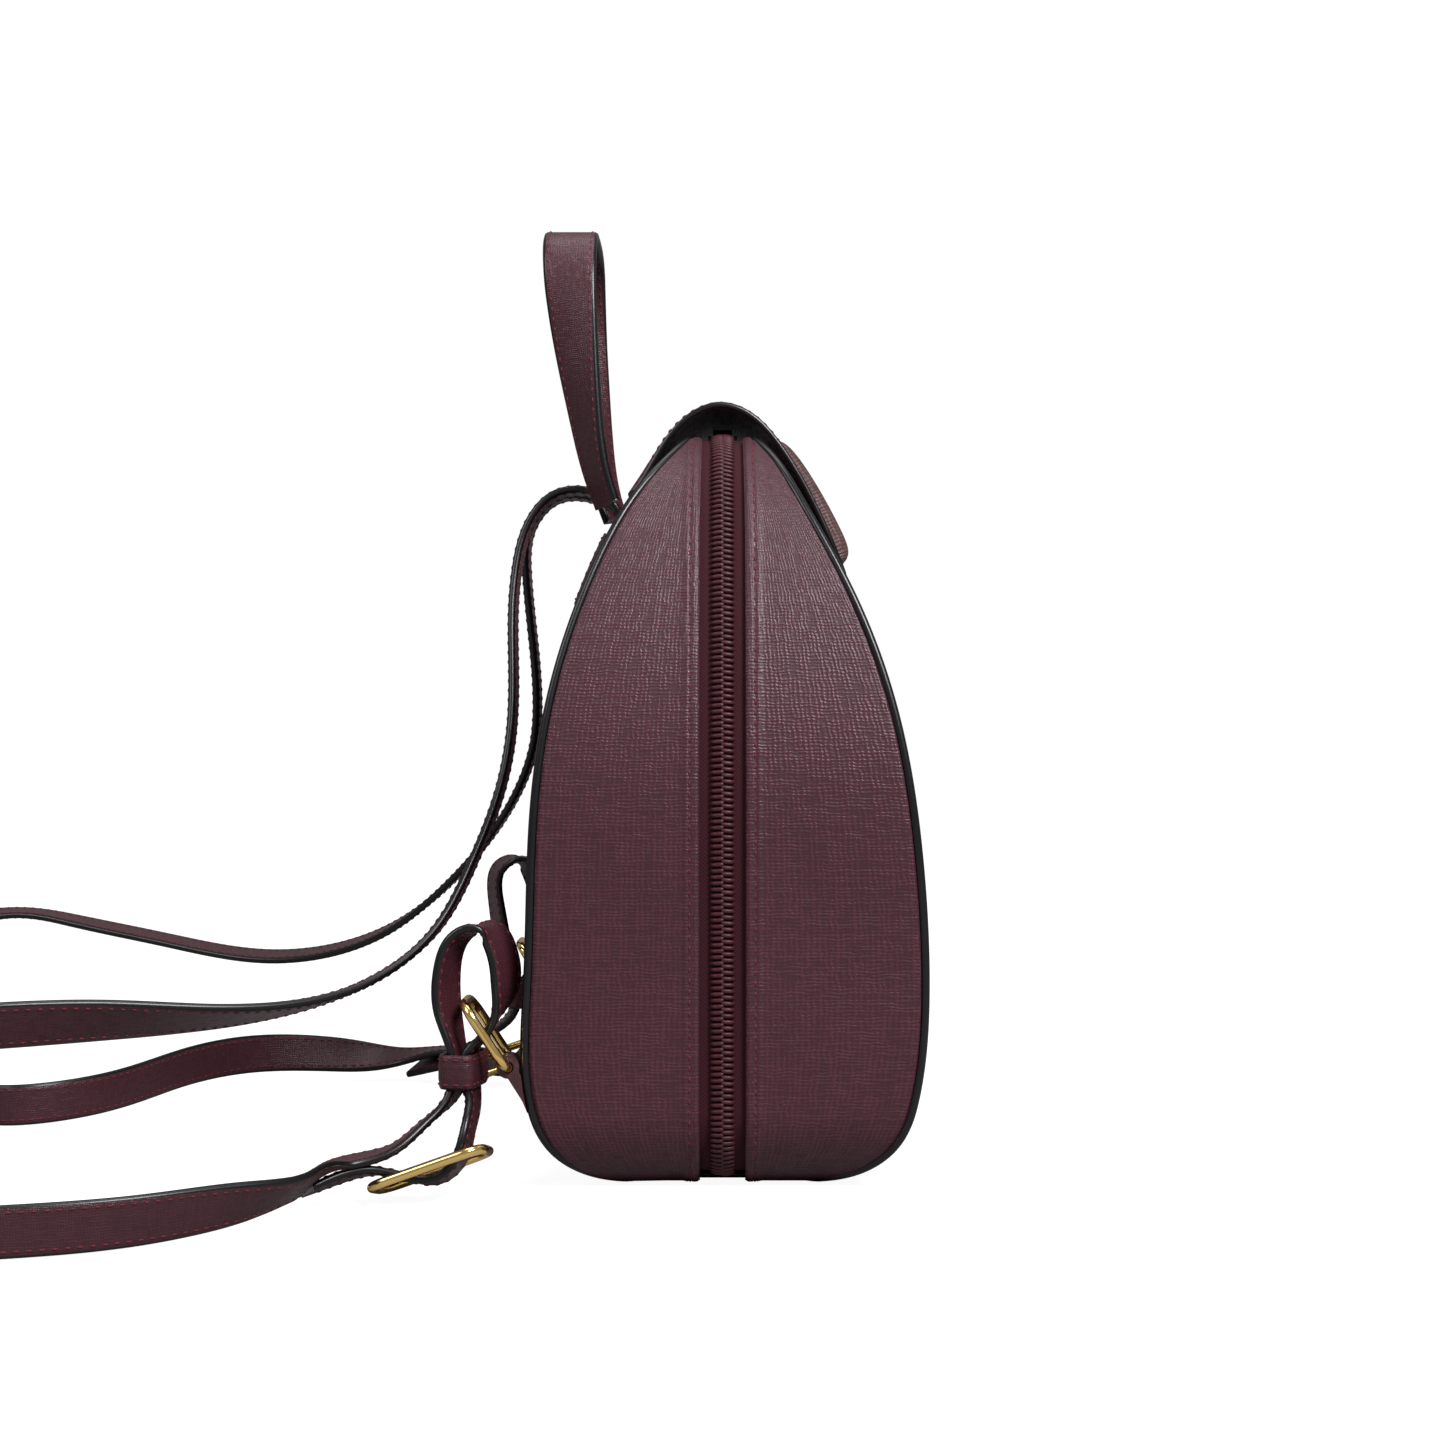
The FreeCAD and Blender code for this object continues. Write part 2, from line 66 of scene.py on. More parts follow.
world = bpy.data.worlds.new("studio_world")
world.use_nodes = True
world_shade = world.node_tree.nodes["Background"]
world_shade.inputs["Color"].default_value = (1.0, 1.0, 1.0, 1.0)
world_ray = world.node_tree.nodes.new("ShaderNodeLightPath")
world_level = world.node_tree.nodes.new("ShaderNodeMapRange")
world_level.inputs["To Min"].default_value = 0.26
world_level.inputs["To Max"].default_value = 1.0
world.node_tree.links.new(world_ray.outputs["Is Camera Ray"], world_level.inputs["Value"])
world.node_tree.links.new(world_level.outputs["Result"], world_shade.inputs["Strength"])
bpy.context.scene.world = world
bpy.context.scene.view_settings.view_transform = "Standard"


def soft_light(name, place, target, width, power):
    """A square area light at a place, facing a target point."""
    data = bpy.data.lights.new(name, "AREA")
    data.size = width
    data.energy = power
    data.color = (1.0, 0.97, 1.0)
    lamp = bpy.data.objects.new(name, data)
    lamp.location = place
    aim = np.array(target) - np.array(place)
    lean = np.arctan2(np.hypot(aim[0], aim[1]), -aim[2])
    lamp.rotation_euler = (lean, 0.0, np.arctan2(aim[1], aim[0]) - np.pi / 2)
    bpy.context.scene.collection.objects.link(lamp)


soft_light("key_light", (-1.05, -0.7, 1.25), (-0.1, -0.02, 0.2), 0.6, 36.0)
soft_light("strap_light", (-0.9, 1.1, 1.2), (-0.1, 0.2, 0.05), 0.7, 9.0)
soft_light("top_light", (0.1, 0.0, 1.9), (0.0, 0.0, 0.2), 1.0, 10.0)


def new_material(name, color, roughness, specular, metallic=0.0):
    """A principled material and its node tree, ready for its pattern."""
    material = bpy.data.materials.new(name)
    material.use_nodes = True
    shader = material.node_tree.nodes["Principled BSDF"]
    shader.inputs["Base Color"].default_value = (*color, 1.0)
    shader.inputs["Roughness"].default_value = roughness
    shader.inputs["Specular IOR Level"].default_value = specular
    shader.inputs["Metallic"].default_value = metallic
    return material, material.node_tree, shader


def add_node(tree, kind, **values):
    """A shader node with properties, or inputs given by name, set on it."""
    node = tree.nodes.new(kind)
    for key, value in values.items():
        if hasattr(node, key):
            setattr(node, key, value)
        else:
            node.inputs[key.replace("_", " ")].default_value = value
    return node


floor_mat, floor_tree, floor_shader = new_material("pale_floor", (0.5, 0.5, 0.5), 0.9, 0.1)
floor_noise = add_node(floor_tree, "ShaderNodeTexNoise", Scale=3.0, Detail=2.0)
floor_ramp = add_node(floor_tree, "ShaderNodeValToRGB")
floor_ramp.color_ramp.elements[0].color = (0.30, 0.30, 0.30, 1.0)
floor_ramp.color_ramp.elements[1].color = (0.32, 0.32, 0.32, 1.0)
floor_ray = add_node(floor_tree, "ShaderNodeLightPath")
floor_glow = add_node(floor_tree, "ShaderNodeMath", operation="MULTIPLY")
floor_glow.inputs[1].default_value = 0.93
floor_tree.links.new(floor_ray.outputs["Is Camera Ray"], floor_glow.inputs[0])
floor_tree.links.new(floor_glow.outputs[0], floor_shader.inputs["Emission Strength"])
floor_shader.inputs["Emission Color"].default_value = (1.0, 1.0, 1.0, 1.0)
floor_tree.links.new(floor_noise.outputs["Fac"], floor_ramp.inputs["Fac"])
floor_tree.links.new(floor_ramp.outputs["Color"], floor_shader.inputs["Base Color"])
floor_mesh = bpy.data.meshes.new("floor")
reach = 12.0
floor_mesh.from_pydata([(-reach, -reach, 0), (reach, -reach, 0), (reach, reach, 0), (-reach, reach, 0)], [],
                       [(0, 1, 2, 3)])
floor = bpy.data.objects.new("floor", floor_mesh)
floor.data.materials.append(floor_mat)
bpy.context.scene.collection.objects.link(floor)
floor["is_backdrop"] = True

# ---------------------------------------------------------------- leather skins
# The body is cut from calf leather pressed with a fine cross-hatched grain and dyed dark burgundy. Its
# front, back and base panels are thin skins whose cut edges are painted black.


def own_space(tree, flat_map):
    """Where on the piece a pattern lies: its UV map in metres, or its own space if it has no map."""
    if flat_map:
        return add_node(tree, "ShaderNodeUVMap", uv_map="skin").outputs["UV"]
    return add_node(tree, "ShaderNodeTexCoord").outputs["Object"]


def raised_finish(name, color, roughness, specular, pattern, strength, depth, flat_map=False, **values):
    """A plain finish raised by one pattern: the pattern's level is the height of the surface."""
    material, tree, shader = new_material(name, color, roughness, specular)
    texture = add_node(tree, pattern, **values)
    bump = add_node(tree, "ShaderNodeBump", Strength=strength, Distance=depth)
    tree.links.new(own_space(tree, flat_map), texture.inputs["Vector"])
    tree.links.new(texture.outputs["Fac"], bump.inputs["Height"])
    tree.links.new(bump.outputs["Normal"], shader.inputs["Normal"])
    return material


def grained_leather(name, deep, light, cell, grain_depth, roughness, flat_map=True):
    """Cross-hatched leather on the piece's own UV map in metres, or on its own space if it has no map:
    two crossed bands, each broken up by noise, raise the grain; its ridges are dyed lighter."""
    material, tree, shader = new_material(name, deep, roughness, 0.40)
    link = tree.links.new
    spot = own_space(tree, flat_map)
    ripple = add_node(tree, "ShaderNodeTexNoise", Scale=260.0, Detail=3.0)
    link(spot, ripple.inputs["Vector"])
    shift = add_node(tree, "ShaderNodeVectorMath", operation="MULTIPLY_ADD")
    shift.inputs[1].default_value = (0.0022, 0.0022, 0.0)
    link(ripple.outputs["Color"], shift.inputs[0])
    link(spot, shift.inputs[2])
    hatch = []
    for direction, pitch, drawn in (("X", cell, (1.0, 0.3, 0.3)), ("Y", cell * 0.85, (0.3, 1.0, 0.3))):
        wave = add_node(tree, "ShaderNodeTexWave", bands_direction=direction, Scale=0.314 / pitch)
        link(shift.outputs["Vector"], wave.inputs["Vector"])
        stretch = add_node(tree, "ShaderNodeVectorMath", operation="MULTIPLY")
        stretch.inputs[1].default_value = drawn
        link(spot, stretch.inputs[0])
        breaks = add_node(tree, "ShaderNodeTexNoise", Scale=0.6 / pitch, Detail=2.0)
        link(stretch.outputs["Vector"], breaks.inputs["Vector"])
        cut = add_node(tree, "ShaderNodeMapRange")
        cut.inputs["From Min"].default_value = 0.3
        cut.inputs["From Max"].default_value = 0.6
        link(breaks.outputs["Fac"], cut.inputs["Value"])
        part = add_node(tree, "ShaderNodeMath", operation="MULTIPLY_ADD")
        link(wave.outputs["Fac"], part.inputs[0])
        link(cut.outputs["Result"], part.inputs[1])
        part.inputs[2].default_value = -0.12
        hatch.append(part)
    grain = add_node(tree, "ShaderNodeMath", operation="ADD", use_clamp=True)
    link(hatch[0].outputs[0], grain.inputs[0])
    link(hatch[1].outputs[0], grain.inputs[1])
    pores = add_node(tree, "ShaderNodeTexNoise", Scale=2600.0, Detail=2.0)
    link(spot, pores.inputs["Vector"])
    height = add_node(tree, "ShaderNodeMath", operation="MULTIPLY_ADD")
    height.inputs[1].default_value = 0.3
    link(pores.outputs["Fac"], height.inputs[0])
    link(grain.outputs[0], height.inputs[2])
    bump = add_node(tree, "ShaderNodeBump", Strength=0.42, Distance=grain_depth)
    link(height.outputs[0], bump.inputs["Height"])
    link(bump.outputs["Normal"], shader.inputs["Normal"])
    tone = add_node(tree, "ShaderNodeValToRGB")
    tone.color_ramp.elements[0].color = (*deep, 1.0)
    tone.color_ramp.elements[1].color = (*light, 1.0)
    cloud = add_node(tree, "ShaderNodeTexNoise", Scale=14.0, Detail=3.0)
    link(spot, cloud.inputs["Vector"])
    mixed = add_node(tree, "ShaderNodeMath", operation="MULTIPLY_ADD")
    mixed.inputs[1].default_value = 0.55
    link(grain.outputs[0], mixed.inputs[0])
    dim = add_node(tree, "ShaderNodeMath", operation="MULTIPLY")
    dim.inputs[1].default_value = 0.45
    link(cloud.outputs["Fac"], dim.inputs[0])
    link(dim.outputs[0], mixed.inputs[2])
    link(mixed.outputs[0], tone.inputs["Fac"])
    link(tone.outputs["Color"], shader.inputs["Base Color"])
    worn = add_node(tree, "ShaderNodeMapRange")
    worn.inputs["To Min"].default_value = roughness + 0.08
    worn.inputs["To Max"].default_value = roughness - 0.08
    link(grain.outputs[0], worn.inputs["Value"])
    link(worn.outputs["Result"], shader.inputs["Roughness"])
    return material


burgundy = grained_leather("burgundy_leather", (0.024, 0.0045, 0.0085), (0.078, 0.019, 0.032),
                           cell=0.0016, grain_depth=0.0003, roughness=0.42)
edge_paint = raised_finish("edge_paint", (0.004, 0.0035, 0.0045), 0.3, 0.4,
                           "ShaderNodeTexNoise", 0.25, 0.0001, Scale=500.0, Detail=2.0)


def through(points, count):
    """A smooth line through points: the natural cubic spline on chord length, read at equal steps of
    its own length."""
    points = np.asarray(points, float)
    steps = np.linalg.norm(np.diff(points[:, :3], axis=0), axis=1)
    knots = np.concatenate([[0.0], np.cumsum(steps)])
    size = len(points)
    system = np.eye(size)
    right = np.zeros_like(points)
    inner = np.arange(1, size - 1)
    system[inner, inner - 1] = steps[:-1]
    system[inner, inner] = 2 * (steps[:-1] + steps[1:])
    system[inner, inner + 1] = steps[1:]
    slopes = np.diff(points, axis=0) / steps[:, None]
    right[1:-1] = 6 * np.diff(slopes, axis=0)
    bends = np.linalg.solve(system, right)
    fine = np.linspace(0.0, knots[-1], 40 * size)
    at = np.clip(np.searchsorted(knots, fine, side="right") - 1, 0, size - 2)
    a = ((knots[at + 1] - fine) / steps[at])[:, None]
    b = 1 - a
    h = steps[at][:, None] ** 2 / 6
    curve = a * points[at] + b * points[at + 1] + ((a**3 - a) * bends[at] + (b**3 - b) * bends[at + 1]) * h
    return evenly(curve, count)


def evenly(curve, count):
    """Points at equal lengths along a fine polyline."""
    run = np.concatenate([[0.0], np.cumsum(np.linalg.norm(np.diff(curve[:, :3], axis=0), axis=1))])
    want = np.linspace(0.0, run[-1], count)
    return np.stack([np.interp(want, run, curve[:, i]) for i in range(curve.shape[1])], axis=1)


def unit(vectors):
    """Vectors scaled to length one."""
    return vectors / np.maximum(np.linalg.norm(vectors, axis=-1, keepdims=True), 1e-12)


def tangents(line):
    """Unit directions along a polyline, by central differences."""
    return unit(np.gradient(line, axis=0))


def add_piece(name, points, faces, materials, body, replaces=(), uv=None, face_slots=None):
    """A smooth mesh object with its materials, its UV in metres at each point and its place in the
    frame; a face is a list of its points' numbers."""
    mesh = bpy.data.meshes.new(name)
    mesh.from_pydata(points.tolist(), [], faces)
    for material in materials:
        mesh.materials.append(material)
    if face_slots is not None:
        mesh.polygons.foreach_set("material_index", face_slots.astype(np.int32))
    mesh.polygons.foreach_set("use_smooth", np.full(len(faces), True))
    if uv is not None:
        layer = mesh.uv_layers.new(name="skin")
        corners = np.zeros(len(mesh.loops), np.int32)
        mesh.loops.foreach_get("vertex_index", corners)
        layer.data.foreach_set("uv", uv[corners].astype(np.float32).ravel())
    mesh.update()
    piece = bpy.data.objects.new(name, mesh)
    bpy.context.scene.collection.objects.link(piece)
    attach(piece, body)
    if replaces:
        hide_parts(*replaces)
    return piece


def grid_faces(rows, columns, around=False):
    """Quads of a rows by columns grid of points; the columns may close on themselves."""
    steps = columns if around else columns - 1
    down, over = np.meshgrid(np.arange(rows - 1), np.arange(steps), indexing="ij")
    right = (over + 1) % columns
    return np.stack([down * columns + over, down * columns + right, (down + 1) * columns + right,
                     (down + 1) * columns + over], axis=-1).reshape(-1, 4)


def grid_uv(grid):
    """UV in metres: the mean length along each direction of the grid."""
    u = np.concatenate([[0.0], np.cumsum(np.linalg.norm(np.diff(grid, axis=0), axis=2).mean(axis=1))])
    v = np.concatenate([[0.0], np.cumsum(np.linalg.norm(np.diff(grid, axis=1), axis=2).mean(axis=0))])
    return np.stack(np.broadcast_arrays(v[None, :], u[:, None]), axis=-1).reshape(-1, 2)


def thicken(piece, thick):
    """Give an open skin its thickness, inwards, with its second material on the cut edges."""
    skin = piece.modifiers.new("thickness", "SOLIDIFY")
    skin.thickness = thick
    skin.offset = -1.0
    skin.material_offset_rim = 1


def sheet_piece(name, grid, thick, body, material, replaces, edge):
    """A skin of leather or cloth: its outer face on the grid and its thickness behind it, with the
    edge material on its cut edges."""
    piece = add_piece(name, grid.reshape(-1, 3), grid_faces(*grid.shape[:2]).tolist(), [material, edge],
                      body, replaces, grid_uv(grid))
    thicken(piece, thick)
    return piece


# Side outline of the body, y and z in metres, from the front of the base over the ridge to its back.
SIDE = 0.001 * np.array([
    (-30, 0), (-40, 1.4), (-52, 5.4), (-66, 17), (-74, 38), (-77.4, 78), (-74.6, 130), (-66, 182),
    (-52, 223.5), (-30, 267.5), (-17, 288.5), (-8, 296), (0, 298), (8, 297), (17, 289.5), (33, 270),
    (52, 233), (65, 192), (72, 145), (74.5, 80), (73.4, 34), (66, 16.5), (52, 5.2), (40, 1.3), (30, 0)])
CROWN = 0.001 * np.array([(125, 30), (125, 100), (124.5, 155), (117, 203), (103, 249), (83, 282),
                          (66, 292.5), (40, 296.4), (0, 298)])
BASE_CORNER = 0.030
SEAM_INSET = 0.0024
ZIP_SLOT = 0.0087
side_line = through(SIDE, 900)
top_row = int(np.argmax(side_line[:, 1]))
half_crown = through(np.vstack([CROWN, CROWN[-2::-1] * (-1, 1)]), 800)[:401]


def half_width(z):
    """Half the body's width at a height: a round base corner below, the domed front outline above."""
    corner = CROWN[0, 0] - BASE_CORNER
    low = corner + np.sqrt(np.maximum(BASE_CORNER**2 - (BASE_CORNER - np.minimum(z, BASE_CORNER)) ** 2, 0))
    high = np.interp(z, half_crown[:, 1], half_crown[:, 0])
    return np.where(z < BASE_CORNER, low, high)


def front_depth(z):
    """Y of the front seam at a height."""
    return np.interp(z, side_line[:top_row + 1, 1], side_line[:top_row + 1, 0])


def back_depth(z):
    """Y of the back seam at a height."""
    return np.interp(z, side_line[:top_row - 1:-1, 1], side_line[:top_row - 1:-1, 0])


def panel_grid(line, columns, bulge):
    """A panel: the side outline carried across the width between the seams, swelling by a bulge that
    fades to nothing at its four edges."""
    line = evenly(line, max(len(line) // 2, 24))
    share = np.linspace(-1, 1, columns)
    x = (half_width(line[:, 1]) - SEAM_INSET)[:, None] * share[None, :]
    along = tangents(line)
    out = np.stack([-along[:, 1], along[:, 0]], axis=1)
    down = np.linspace(-1, 1, len(line))
    puff = bulge * (1 - share[None, :] ** 4) * (1 - down[:, None] ** 6)
    y = line[:, 0][:, None] + out[:, 0][:, None] * puff
    z = line[:, 1][:, None] + out[:, 1][:, None] * puff
    return np.stack([x, y, z], axis=-1)


# The base panel reaches FOLD from the middle, where the front and back panels take over, and at the top
# those two stop RIDGE from the middle, beside the zip.
FOLD = 0.044
RIDGE = 0.0093
UNDERSIDE = 0.02
PANEL_THICK = 0.002
rows = np.arange(len(side_line))
under = side_line[:, 1] < UNDERSIDE
front_cut = side_line[(rows < top_row) & (side_line[:, 0] < -RIDGE) & ~((side_line[:, 0] > -FOLD) & under)]
back_cut = side_line[(rows > top_row) & (side_line[:, 0] > RIDGE) & ~((side_line[:, 0] < FOLD) & under)]
front_foot = side_line[(rows < top_row) & under & (side_line[:, 0] > -FOLD)][::-1]
back_foot = side_line[(rows > top_row) & under & (side_line[:, 0] < FOLD)][::-1]
base_cut = np.vstack([front_foot, back_foot])[::-1]

for part, cut, columns, bulge, body in (("front_panel", front_cut, 121, 0.0016, "front_shell"),
                                        ("back_panel", back_cut, 121, 0.0014, "rear_shell"),
                                        ("base_panel", base_cut, 81, 0.0, "rear_shell")):
    sheet_piece(f"{part}_skin", panel_grid(cut, columns, bulge), PANEL_THICK, body, burgundy,
                (part,), edge_paint)

# ---------------------------------------------------------------- gussets
# Each side of the bag is two strips of the same leather, one on each side of the zip. Their inner edges
# are folded back and sewn down 3.8 mm from the fold, so a low ridge runs beside the zip.
thread = raised_finish("burgundy_thread", (0.105, 0.010, 0.017), 0.6, 0.3,
                       "ShaderNodeTexNoise", 0.5, 0.0001, Scale=2400.0, Detail=1.0)
STITCH_PITCH = 0.0041
STITCH_LENGTH = 0.0030
STITCH_RADIUS = 0.00042


def rod_faces(count, rings):
    """Faces of many closed six-sided rods of a number of rings each; a lid is two quads."""
    last = (rings - 1) * 6
    lids = np.array([[5, 4, 3, 2], [5, 2, 1, 0], [last, last + 1, last + 2, last + 3],
                     [last, last + 3, last + 4, last + 5]])
    single = np.vstack([grid_faces(rings, 6, around=True), lids])
    return (np.arange(count)[:, None, None] * rings * 6 + single[None]).reshape(-1, 4)


def stitch_row(name, line, up, body):
    """A row of saddle stitches along a line: each is a short six-sided lozenge sunk at its two ends."""
    run = np.linalg.norm(np.diff(line, axis=0), axis=1).sum()
    count = max(int(run / STITCH_PITCH), 2)
    both = evenly(np.hstack([line, up]), 2 * count + 1)[1::2]
    middle, out = both[:, :3], unit(both[:, 3:])
    along = tangents(evenly(line, 2 * count + 1))[1::2]
    out = unit(out - along * (out * along).sum(1, keepdims=True))
    across = np.cross(along, out)
    reach = STITCH_LENGTH * np.linspace(-0.5, 0.5, 5)
    turn = np.arange(6) * np.pi / 3
    girth = STITCH_RADIUS * np.array([0.35, 0.9, 1.0, 0.9, 0.35])
    lift = STITCH_RADIUS * np.array([-1.2, -0.1, 0.15, -0.1, -1.2])
    ring = (middle[:, None, None] + along[:, None, None] * reach[:, None][None, :, :, None]
            + out[:, None, None] * (lift[:, None] + girth[:, None] * np.sin(turn))[None, :, :, None]
            + across[:, None, None] * (girth[:, None] * np.cos(turn))[None, :, :, None])
    faces = rod_faces(count, 5)[:, ::-1].tolist()
    return add_piece(name, ring.reshape(-1, 3), faces, [thread], body)


arc_turn = np.linspace(-1.42, 0.0, 60)
corner_arc = np.stack([CROWN[0, 0] - BASE_CORNER + BASE_CORNER * np.cos(arc_turn),
                       BASE_CORNER + BASE_CORNER * np.sin(arc_turn)], axis=1)
crown_side = half_crown[half_crown[:, 0] > 0.0655]
outline = evenly(np.vstack([corner_arc[:-1], crown_side]), 200)
outline_along = tangents(outline)
outline_out = np.stack([outline_along[:, 1], -outline_along[:, 0]], axis=1)
depth_of = {"front": front_depth, "rear": back_depth}
side_sign = {"left": -1.0, "right": 1.0}
half_sign = {"front": -1.0, "rear": 1.0}
shell_of = {"front": "front_shell", "rear": "rear_shell"}
FACING = 0.0038
GUSSET_THICK = 0.0018


def slot_edge(half):
    """Y of the folded edge beside the zip, drawing in a little towards the ridge."""
    narrow = np.clip((outline[:, 1] - 0.255) / 0.04, 0, 1) * 0.0006
    return half_sign[half] * (ZIP_SLOT - narrow)


def gusset_grid(side, half):
    """A gusset strip: at each height of the front outline, from the seam to the folded edge; the fold
    and its turned-in hem stand proud by a rounded step, and the skin wavers very slightly."""
    seam_y = depth_of[half](outline[:, 1])
    seam_y = seam_y - half_sign[half] * SEAM_INSET
    edge_y = slot_edge(half)
    seam_y = half_sign[half] * np.maximum(seam_y * half_sign[half], edge_y * half_sign[half] + 0.0004)
    share = np.concatenate([np.linspace(0, 0.86, 34), np.linspace(0.875, 1.0, 14)])
    y = seam_y[:, None] + (edge_y - seam_y)[:, None] * share[None, :]
    off = np.abs(edge_y[:, None] - y)
    hem = 0.00055 / (1 + np.exp((off - 0.0058) / 0.0005))
    groove = -0.0004 * np.exp(-((off - FACING) / 0.0006) ** 2)
    fold = -0.0007 * np.exp(-(off / 0.0008) ** 2)
    height = outline[:, 1][:, None]
    fade = 1 - np.exp(-(off / 0.02) ** 2)
    waver = 0.0005 * np.sin(height * 46 + y * 30) * np.sin(height * 17 + 1.1) * fade
    proud = hem + groove + fold + waver
    x = outline[:, 0][:, None] + outline_out[:, 0][:, None] * proud
    z = height + outline_out[:, 1][:, None] * proud
    grid = np.stack([side_sign[side] * x, y, z], axis=-1)
    flipped = (side_sign[side] > 0) == (half_sign[half] > 0)
    return grid[:, ::-1] if flipped else grid


def outline_row(side, half, off, lift):
    """A line up a gusset at a distance from its folded edge, and the outward direction along it."""
    y = slot_edge(half) + half_sign[half] * off
    x = side_sign[side] * (outline[:, 0] + outline_out[:, 0] * lift)
    line = np.stack([x, y, outline[:, 1] + outline_out[:, 1] * lift], axis=1)
    out = np.stack([side_sign[side] * outline_out[:, 0], np.zeros(len(y)), outline_out[:, 1]], axis=1)
    room = half_sign[half] * (depth_of[half](outline[:, 1]) - y) > 0.004
    return line[room], out[room]


for side in side_sign:
    for half in half_sign:
        sheet_piece(f"{half}_gusset_skin_{side}", gusset_grid(side, half), GUSSET_THICK, shell_of[half],
                    burgundy, (f"{half}_gusset_{side}",), edge_paint)
        row, row_out = outline_row(side, half, FACING, 0.0002)
        stitch_row(f"{half}_facing_stitches_{side}", row, row_out, shell_of[half])

# ---------------------------------------------------------------- piped seams
# A welt of leather rolled over cord and painted black closes every seam between panel and gusset. It
# is sewn in all round the side, down to the base and along it to the end of the zip.
PIPING = 0.0017
PIPING_SINK = 0.0011
CORD_SIDES = 14


def piping_piece(name, line, up, body, replaces):
    """A closed round cord along a line: its rings are set out from a reference direction squared to
    the line, and a fan of triangles closes each end."""
    along = tangents(line)
    out = unit(up - along * (up * along).sum(1, keepdims=True))
    across = np.cross(along, out)
    corner = np.arange(CORD_SIDES)
    turn = corner * 2 * np.pi / CORD_SIDES
    grid = line[:, None] + PIPING * (out[:, None] * np.cos(turn)[None, :, None]
                                     + across[:, None] * np.sin(turn)[None, :, None])
    following = (corner + 1) % CORD_SIDES
    last = (len(line) - 1) * CORD_SIDES
    hub = np.full(CORD_SIDES, len(line) * CORD_SIDES)
    lids = np.vstack([np.stack([hub, following, corner], axis=1),
                      np.stack([hub + 1, last + corner, last + following], axis=1)])
    faces = grid_faces(len(line), CORD_SIDES, around=True).tolist() + lids.tolist()
    points = np.vstack([grid.reshape(-1, 3), line[[0, -1]]])
    flat = np.vstack([grid_uv(grid), np.zeros((2, 2))])
    return add_piece(name, points, faces, [edge_paint], body, replaces, flat)


def piping_line(side, half):
    """The seam's route: from near the ridge down the side outline, round the base corner and along the
    base to the zip; the cord's middle sits just inside the corner that the two skins make."""
    x = outline[:, 0] - outline_out[:, 0] * PIPING_SINK
    z = np.maximum(outline[:, 1] - outline_out[:, 1] * PIPING_SINK, PIPING + 0.0002)
    y = depth_of[half](outline[:, 1]) - half_sign[half] * PIPING_SINK * 0.7
    down = np.stack([side_sign[side] * x, y, z], axis=1)[::-1]
    foot = down[-1]
    run = np.linspace(0, 1, 12)[1:, None]
    end = np.array([foot[0], half_sign[half] * RIDGE, foot[2]])
    return evenly(np.vstack([down, foot + (end - foot) * run]), 260)


bag_middle = np.array([0.0, 0.0, 0.12])
for side in side_sign:
    for half in half_sign:
        line = piping_line(side, half)
        piping_piece(f"{half}_piping_cord_{side}", line, line - bag_middle, shell_of[half],
                     (f"{half}_piping_{side}",))

# ---------------------------------------------------------------- zip
# A continuous nylon coil zip: two woven tapes, each with a row of oval loops on its edge, run up one
# side, over the ridge and down the other. The loops of the two rows mesh half a pitch apart.
tape_weave = raised_finish("zip_tape", (0.034, 0.006, 0.010), 0.85, 0.2, "ShaderNodeTexWave", 0.6, 0.00015,
                           flat_map=True, bands_direction="DIAGONAL", Scale=420.0, Distortion=0.4)


def clouded_finish(name, color, roughness, specular, deep, light, scale, detail):
    """A finish that drifts between a deep and a light colour with one noise on the piece's own space."""
    material, tree, shader = new_material(name, color, roughness, specular)
    noise = add_node(tree, "ShaderNodeTexNoise", Scale=scale, Detail=detail)
    ramp = add_node(tree, "ShaderNodeValToRGB")
    ramp.color_ramp.elements[0].color = (*deep, 1.0)
    ramp.color_ramp.elements[1].color = (*light, 1.0)
    tree.links.new(own_space(tree, False), noise.inputs["Vector"])
    tree.links.new(noise.outputs["Fac"], ramp.inputs["Fac"])
    tree.links.new(ramp.outputs["Color"], shader.inputs["Base Color"])
    return material


nylon_coil = clouded_finish("nylon_coil", (0.045, 0.009, 0.013), 0.42, 0.28, (0.036, 0.007, 0.010),
                            (0.060, 0.013, 0.018), 300.0, 1.0)

over_arc = np.vstack([corner_arc[:-1], half_crown[:-1]])
zip_fine = np.vstack([over_arc * (-1, 1), over_arc[::-1]])
zip_fine = zip_fine[zip_fine[:, 1] > 0.0043]
zip_way = evenly(np.stack([zip_fine[:, 0], np.zeros(len(zip_fine)), zip_fine[:, 1]], axis=1), 600)
zip_along = tangents(zip_way)
zip_out = np.stack([-zip_along[:, 2], np.zeros(len(zip_way)), zip_along[:, 0]], axis=1)
TAPE_SUNK = 0.0023
TAPE_THICK = 0.0006
COIL_PITCH = 0.00233
COIL_RADIUS = 0.00062

for half, sign in half_sign.items():
    across = np.linspace(0.0006, ZIP_SLOT + 0.0025, 8)
    away = zip_way - zip_out * TAPE_SUNK
    grid = away[:, None] + np.array([0.0, sign, 0.0]) * across[None, :, None]
    high = zip_way[:, 2] > 0.2885
    grid[high, -2:, 1] = sign * np.minimum(np.abs(grid[high, -2:, 1]), 0.0085)
    grid = grid[:, ::-1] if sign > 0 else grid
    sheet_piece(f"{half}_tape_weave", grid, TAPE_THICK, shell_of[half], tape_weave,
                (f"{half}_zip_tape",), tape_weave)


